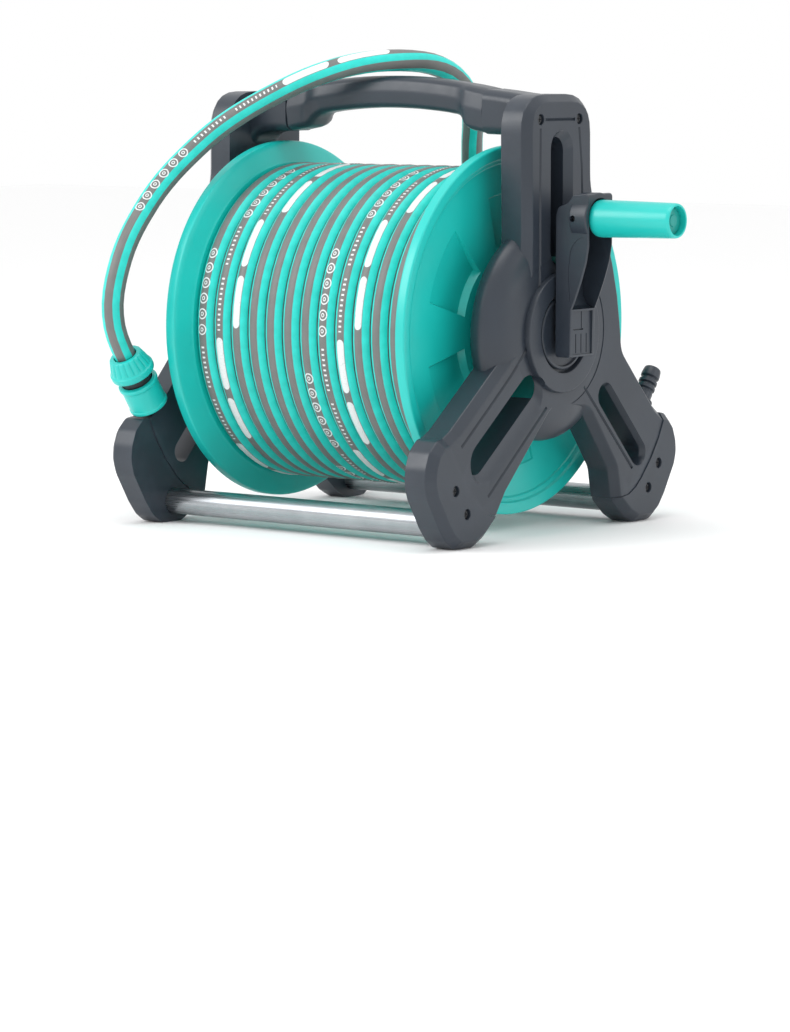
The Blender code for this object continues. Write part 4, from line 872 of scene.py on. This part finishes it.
def build_connector():
    at_dock = TO_ROW @ dock_matrix()
    nut = [(0.0424, 0.0112), (0.0424, 0.0196), (0.0428, 0.0212), (0.0438, 0.0223), (0.0452, 0.0227),
           (0.0488, 0.0227), (0.0498, 0.0224), (0.0504, 0.0216), (0.0510, 0.0212), (0.0520, 0.0211),
           (0.0550, 0.0203), (0.0580, 0.0194), (0.0610, 0.0184), (0.0635, 0.0176), (0.0648, 0.0170),
           (0.0656, 0.0160), (0.0660, 0.0148), (0.0660, 0.0122), (0.0652, 0.0115), (0.0568, 0.0114),
           (0.0568, 0.0112)]
    item = place(lathe("connector_ribbed_nut", nut, 144, shape_of=ribbed), at_dock)
    piece(item, "connector_union", "teal_plastic", TEAL, "connector_nut")
    barrel = [(0.0022, 0.0164), (0.0022, 0.0186), (0.0026, 0.0195), (0.0034, 0.0200), (0.0060, 0.0201),
              (0.0066, 0.0198), (0.0070, 0.0194), (0.0282, 0.0192), (0.0288, 0.0196), (0.0294, 0.0202),
              (0.0304, 0.0206), (0.0328, 0.0206), (0.0336, 0.0202), (0.0341, 0.0192), (0.0342, 0.0164)]
    item = place(lathe("connector_barrel", barrel, 96), at_dock)
    piece(item, "connector_collar", "teal_plastic", TEAL, "connector_sleeve")
    bore = 0.0103
    body = [(0.0052, bore), (0.0052, 0.0146), (0.0058, 0.0154), (0.0384, 0.0155), (0.0388, 0.0164),
            (0.0396, 0.0172), (0.0408, 0.0172), (0.0416, 0.0168), (0.0419, 0.0104), (0.0560, 0.0104),
            (0.0562, 0.0060), (0.0430, 0.0060), (0.0430, bore)]
    item = place(lathe("connector_core", body, 72), at_dock)
    piece(item, "connector", "black_plastic", BLACK, "connector_body")
    nipple = [(0.0, 0.0), (0.0, 0.0112), (0.0010, 0.0118), (0.0030, 0.0118), (0.0038, 0.0108),
              (0.0046, 0.0092),
              (0.0060, 0.0089), (0.0120, 0.0089), (0.0130, 0.0080), (0.0142, 0.0078), (0.0150, 0.0084),
              (0.0156, 0.0096), (0.0184, 0.0097), (0.0190, 0.0088), (0.0196, 0.0077), (0.0212, 0.0076),
              (0.0218, 0.0088), (0.0224, 0.0096), (0.0252, 0.0096), (0.0258, 0.0088), (0.0264, 0.0077),
              (0.0280, 0.0076), (0.0288, 0.0086), (0.0296, 0.0096), (0.0330, 0.0097), (0.0345, 0.0094),
              (0.0375, 0.0090), (0.0392, 0.0084), (0.0400, 0.0074), (0.0400, 0.0058), (0.0394, 0.0054),
              (0.0280, 0.0050), (0.0280, 0.0)]
    item = lathe("nipple_fine", nipple, 48)
    for side, turn in (("left", Matrix()), ("right", HALF_TURN)):
        other = copy_of(item, "dock_%s_nipple" % side, TO_ROW @ turn @ dock_matrix())
        piece(other, "frame", "slate_plastic", SLATE, "dock_nipple_" + side)
    bpy.data.objects.remove(item, do_unlink=True)


# ------------------------------------------------------ handle, tubes, screws
def build_handle():
    rings = []
    stations = [(0.0, 0), (0.012, 0), (0.024, 0), (0.036, 0), (0.048, 0), (0.060, 0), (0.072, 0),
                (0.084, 0.02),
                (0.0905, 0.12), (0.0955, 0.45), (0.0985, 0.78), (0.102, 0.93), (0.107, 1), (0.116, 1),
                (0.1232, 1),
                (0.1237, 0.97)]
    both = [(-x, grow) for x, grow in reversed(stations[1:])] + stations
    for x, grow in both:
        top = 0.4475 - 0.0120 * (abs(x) / 0.124) ** 2
        height = 0.0318 + 0.0122 * grow
        half_y = 0.0180 + 0.0060 * grow
        ring = handle_section(half_y, top - height, top)
        rings.append([(x, y, z) for y, z in ring])
    item = settle(skin("carrying_handle", rings), 40)
    place(item, TO_ROW)
    piece(item, "frame", "slate_plastic", SLATE, "handle")


def handle_section(half_y, low, high):
    """A rounded section with a soft crease along each side, above its middle."""
    middle = low + (high - low) * 0.50
    right = [(half_y, middle, 0.003), (half_y * 0.86, high - 0.0035, 0.008), (half_y * 0.50, high, 0.012)]
    left = [(-half_y * 0.50, high, 0.012), (-half_y * 0.86, high - 0.0035, 0.008), (-half_y, middle, 0.003)]
    below = [(-half_y * 0.88, low + 0.003, 0.008), (-half_y * 0.55, low, 0.010), (half_y * 0.55, low, 0.010),
             (half_y * 0.88, low + 0.003, 0.008)]
    points = []
    corners = right + left + below
    count = len(corners)
    for i, (y, z, radius) in enumerate(corners):
        here = Vector((y, z))
        back = Vector(corners[i - 1][:2]) - here
        ahead = Vector(corners[(i + 1) % count][:2]) - here
        reach = min(radius, back.length * 0.45, ahead.length * 0.45)
        first = here + back.normalized() * reach
        last = here + ahead.normalized() * reach
        for k in range(4):
            t = k / 3
            points.append(tuple(first * (1 - t) ** 2 + here * 2 * t * (1 - t) + last * t ** 2))
    return points


def build_tubes():
    r = TUBE_R
    profile = [(-TUBE_END, r - 0.0014), (-TUBE_END, r - 0.0004), (-TUBE_END + 0.0004, r),
               (TUBE_END - 0.0004, r),
               (TUBE_END, r - 0.0004), (TUBE_END, r - 0.0014)]
    for name, side in (("front", -1), ("rear", 1)):
        item = lathe("tube_" + name, profile, 96)
        place(item, TO_ROW @ Matrix.Translation((0, side * TUBE_Y, TUBE_Z)))
        piece(item, "frame", "satin_aluminium", METAL, "cross_tube_" + name)


def screw_mesh():
    """A small pan-head screw with a cross recess, its head's top at X = 0."""
    profile = [(-0.0090, 0), (-0.0090, 0.0012), (-0.0080, 0.0020), (-0.0022, 0.0020), (-0.0022, 0.0043),
               (-0.0012, 0.0045), (-0.0005, 0.0041), (-0.0001, 0.0032), (0.0, 0.0020), (0.0, 0)]
    item = lathe("screw_fine", profile, 32)
    boolean(item, [box("cut", (-0.0012, -0.0024, -0.0005), (0.001, 0.0024, 0.0005)),
                   box("cut", (-0.0012, -0.0005, -0.0024), (0.001, 0.0005, 0.0024))])
    return settle(item)


def build_screws():
    item = screw_mesh()
    for side, turn in (("right", Matrix()), ("left", HALF_TURN)):
        for number, (y, z) in enumerate(TOP_SCREWS, 1):
            name = "handle_screw_%s_%d" % (side, number)
            other = copy_of(item, name + "_head", TO_ROW @ turn @ Matrix.Translation((FACE_X - 0.0018, y, z)))
            piece(other, "frame", "dark_screw", SCREW, name)
        for end in (-1, 1):
            foot = "rear" if (end == 1) == (side == "right") else "front"
            for number, (y, z) in enumerate(FOOT_SCREWS, 1):
                name = "foot_screw_%s_%s_%d" % (foot, side, number)
                matrix = TO_ROW @ turn @ Matrix.Translation((FACE_X - 0.0010, end * y, z))
                piece(copy_of(item, name + "_head", matrix), "frame", "dark_screw", SCREW, name)
    bpy.data.objects.remove(item, do_unlink=True)


# ----------------------------------------------------------------- the hose
LAYER_RADII = (0.1053, 0.1273, 0.1493)
TURNS = 12
FIRST_TURN_X = -0.1207
TURN_PITCH = 0.021945
CROSS_START = 275.0       # angle at which the outer layer's turns step aside
STEP = 26.0               # each inner layer steps aside this much later
CROSS = 120.0             # angle that a step aside takes
CLIMBS = (150.0, 120.0)   # angles that the climbs to the second and third layers take
LEAVE = 277.2             # angle at which the free hose leaves the winding


def ease(value):
    value = min(max(value, 0.0), 1.0)
    return value * value * (3 - 2 * value)


def winding_state(angle):
    """Distance along X and radius of the winding's middle line, at an angle counted over all turns."""
    layer_turn = angle
    x_step = 0.0
    radius = LAYER_RADII[0]
    # Layer by layer: steps to the right, a climb, steps to the left, a climb, steps to the right.
    cross_1 = CROSS_START + 4 * STEP
    for k in range(1, TURNS):
        x_step += ease((angle - cross_1 - 360 * k) / CROSS)
    climb_1 = CROSS_START + 3 * STEP + 360 * TURNS
    radius += (LAYER_RADII[1] - LAYER_RADII[0]) * ease((angle - climb_1) / CLIMBS[0])
    cross_2 = CROSS_START + 2 * STEP
    for k in range(TURNS + 1, 2 * TURNS):
        x_step -= ease((angle - cross_2 - 360 * k) / CROSS)
    climb_2 = CROSS_START + STEP + 360 * 2 * TURNS
    radius += (LAYER_RADII[2] - LAYER_RADII[1]) * ease((angle - climb_2) / CLIMBS[1])
    for k in range(2 * TURNS + 1, 3 * TURNS):
        x_step += ease((angle - CROSS_START - 360 * k) / CROSS)
    return FIRST_TURN_X + TURN_PITCH * x_step, radius


def winding_path():
    """Points and outward directions of the wound hose, from the core to where it leaves."""
    start = CROSS_START + 4 * STEP + CROSS
    outer = CROSS_START + STEP + 360 * 2 * TURNS
    end = LEAVE + 360 * 3 * TURNS
    angles = []
    angle = start
    while angle < end - 3:
        angles.append(angle)
        angle += 12.0 if angle < outer else 5.0
    angles.append(end)
    points = []
    outward = []
    for angle in angles:
        x, radius = winding_state(angle)
        turn = math.radians(angle)
        ray = Vector((0, math.cos(turn), math.sin(turn)))
        points.append(Vector((x + SHIFT, 0, AXLE_Z)) + ray * radius)
        outward.append(ray)
    return points, outward


ROUTE = [(-0.1812, -0.2222, 0.1998), (-0.1803, -0.2257, 0.2257), (-0.1777, -0.2212, 0.2544),
         (-0.1776, -0.2071, 0.2830), (-0.1790, -0.1828, 0.3110), (-0.1735, -0.1595, 0.3393),
         (-0.1617, -0.1348, 0.3663), (-0.1419, -0.1068, 0.3954), (-0.1141, -0.0767, 0.4211),
         (-0.0710, -0.0487, 0.4458), (-0.0270, -0.0250, 0.4597), (0.0048, 0.0096, 0.4625),
         (0.0194, 0.0456, 0.4562), (0.0232, 0.0781, 0.4379), (0.0180, 0.1023, 0.4100),
         (0.0071, 0.1164, 0.3745), (0.0003, 0.1291, 0.3394), (-0.0022, 0.1584, 0.2978),
         (0.0141, 0.1877, 0.2571), (0.0348, 0.1972, 0.2098), (0.0597, 0.1913, 0.1624),
         (0.0879, 0.1725, 0.1178), (0.1078, 0.1402, 0.0834), (0.1170, 0.1040, 0.0618)]


def smooth(points, spacing):
    """A smooth curve through the points, read at an even spacing."""
    fine = []
    for i in range(len(points) - 1):
        p0, p1 = points[max(i - 1, 0)], points[i]
        p2, p3 = points[i + 1], points[min(i + 2, len(points) - 1)]
        for step in range(24):
            t = step / 24
            first = 2 * p1 + (p2 - p0) * t
            second = (2 * p0 - 5 * p1 + 4 * p2 - p3) * t ** 2
            third = (3 * p1 - p0 - 3 * p2 + p3) * t ** 3
            fine.append((first + second + third) * 0.5)
    fine.append(points[-1])
    even = [fine[0]]
    for point in fine[1:]:
        if (point - even[-1]).length >= spacing:
            even.append(point)
    even[-1] = fine[-1]
    return even


def run_path():
    """The free hose from the winding, over the handle, to the connector."""
    x, radius = winding_state(LEAVE + 360 * 3 * TURNS)
    turn = math.radians(LEAVE)
    start = Vector((x, radius * math.cos(turn), AXLE_Z + radius * math.sin(turn)))
    points = [start, start.lerp(Vector(ROUTE[-1]), 0.45)]
    points += [Vector(p) for p in reversed(ROUTE)]
    for along in (0.0742, 0.0572):
        points.append(DOCK + DOCK_AXIS * along)
    shifted = [p + Vector((SHIFT, 0, 0)) for p in points]
    return smooth(shifted, 0.011)


OUTWARD_KEYS = [(0.00, (0, 0.12, -0.99)), (0.10, (0, 0.7, -0.7)), (0.22, (0, 1, 0)), (0.42, (0.1, 1, 0.1)),
                (0.52, (0.1, 0.5, 0.9)), (0.58, (0.3, -0.3, 0.9)), (0.64, (0.45, -0.6, 0.62)),
                (0.80, (0.30, -0.90, 0.40)), (1.00, (0.25, -0.95, 0.05))]


def run_outward(points):
    """The direction in which the hose's printed line faces, at each point."""
    total = len(points) - 1
    rays = []
    for i in range(len(points)):
        share = i / total
        for (low, a), (high, b) in zip(OUTWARD_KEYS, OUTWARD_KEYS[1:]):
            if low <= share <= high:
                part = (share - low) / (high - low)
                rays.append(Vector(a).lerp(Vector(b), part).normalized())
                break
    return rays


def path_length(points):
    return sum((b - a).length for a, b in zip(points, points[1:]))


def hose_tube(name, points, outward, start_length=0.0, along=1, sides=16):
    """A mesh tube with a UV map: round the hose from the printed line, and metres along it."""
    mesh = bpy.data.meshes.new(name)
    shape = bmesh.new()
    layer = shape.loops.layers.uv.new("hose")
    loops = []
    lengths = [start_length]
    for a, b in zip(points, points[1:]):
        lengths.append(lengths[-1] + along * (b - a).length)
    for i, point in enumerate(points):
        ahead = points[min(i + 1, len(points) - 1)] - points[max(i - 1, 0)]
        ahead.normalize()
        ray = (outward[i] - ahead * outward[i].dot(ahead)).normalized()
        side = ahead.cross(ray)
        ring = []
        for j in range(sides):
            angle = 2 * math.pi * j / sides
            ring.append(shape.verts.new(point + (ray * math.cos(angle) + side * math.sin(angle)) * HOSE_R))
        loops.append(ring)
    for i in range(len(points) - 1):
        for j in range(sides):
            k = (j + 1) % sides
            face = shape.faces.new((loops[i][j], loops[i][k], loops[i + 1][k], loops[i + 1][j]))
            face.smooth = True
            corners = ((j, i), (j + 1, i), (j + 1, i + 1), (j, i + 1))
            for loop, (across, station) in zip(face.loops, corners):
                loop[layer].uv = (across / sides, lengths[station])
    shape.faces.new(list(reversed(loops[0])))
    shape.faces.new(loops[-1])
    bmesh.ops.recalc_face_normals(shape, faces=shape.faces)
    shape.to_mesh(mesh)
    shape.free()
    item = bpy.data.objects.new(name, mesh)
    bpy.context.scene.collection.objects.link(item)
    dress(item, HOSE)
    return item, abs(lengths[-1] - start_length)


def build_hose():
    points, outward = winding_path()
    length = path_length(points)
    wound, length = hose_tube("hose_wound", points, outward, (FIRST_RING + WOUND_PRINT - length) % PERIOD)
    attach(wound, "drum")
    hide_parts("hose_winding")
    run = run_path()
    free, run_length = hose_tube("hose_free", run, run_outward(run),
                                 FIRST_RING + path_length(run) - FREE_PRINT, -1)
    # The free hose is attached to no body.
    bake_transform(free)
    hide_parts("hose_run")
    print("hose lengths", round(length, 3), round(run_length, 3))


# ------------------------------------------------------------ light and camera
def build_stage():
    bpy.ops.mesh.primitive_plane_add(size=14.0)
    floor = bpy.context.object
    floor.name = "floor"
    n = Nodes("floor_paper")
    n.set("Base Color", (0.975, 0.975, 0.975, 1.0))
    n.set("Roughness", 0.80)
    n.set("Specular IOR Level", 0.2)
    dress(floor, n.material)
    world = bpy.data.worlds.new("studio")
    bpy.context.scene.world = world
    bpy.context.scene.view_settings.view_transform = "Standard"
    world.use_nodes = True
    back = world.node_tree.nodes["Background"]
    back.inputs["Color"].default_value = (1.0, 1.0, 1.0, 1.0)
    back.inputs["Strength"].default_value = 1.0


def soft_light(name, place, target, size, power, colour=(1, 1, 1)):
    data = bpy.data.lights.new(name, "AREA")
    data.shape = "RECTANGLE"
    data.size, data.size_y = size
    data.energy = power
    data.color = colour
    lamp = bpy.data.objects.new(name, data)
    bpy.context.scene.collection.objects.link(lamp)
    lamp.location = place
    lamp.rotation_euler = (Vector(target) - Vector(place)).to_track_quat("-Z", "Y").to_euler()
    return lamp


def build_lights():
    middle = (0, 0, 0.22)
    soft_light("key_left", (-1.6, -2.2, 1.7), middle, (1.5, 1.5), 34)
    soft_light("top", (0.2, -0.3, 2.4), middle, (1.6, 1.2), 14)
    soft_light("rim_right", (1.9, 0.9, 1.2), middle, (0.7, 1.4), 4)


def build_camera():
    data = bpy.data.cameras.new("camera")
    data.lens = 36.0 * 4106.4 / 1032.0
    data.sensor_width = 36.0
    data.clip_end = 50.0
    camera = bpy.data.objects.new("camera", data)
    bpy.context.scene.collection.objects.link(camera)
    azimuth, elevation = math.radians(37.96), math.radians(6.60)
    back = Vector((math.sin(azimuth) * math.cos(elevation), -math.cos(azimuth) * math.cos(elevation),
                   math.sin(elevation)))
    right = Vector((math.cos(azimuth), math.sin(azimuth), 0))
    up = back.cross(right)
    turn = Matrix((right, up, back)).transposed().to_4x4()
    camera.matrix_world = Matrix.Translation((2.5387 + SHIFT, -3.2566, 0.4820)) @ turn
    bpy.context.scene.camera = camera


def main():
    dress_cad()
    build_frames()
    build_drum()
    build_crank()
    build_connector()
    build_handle()
    build_tubes()
    build_screws()
    build_hose()
    build_stage()
    build_lights()
    build_camera()


main()
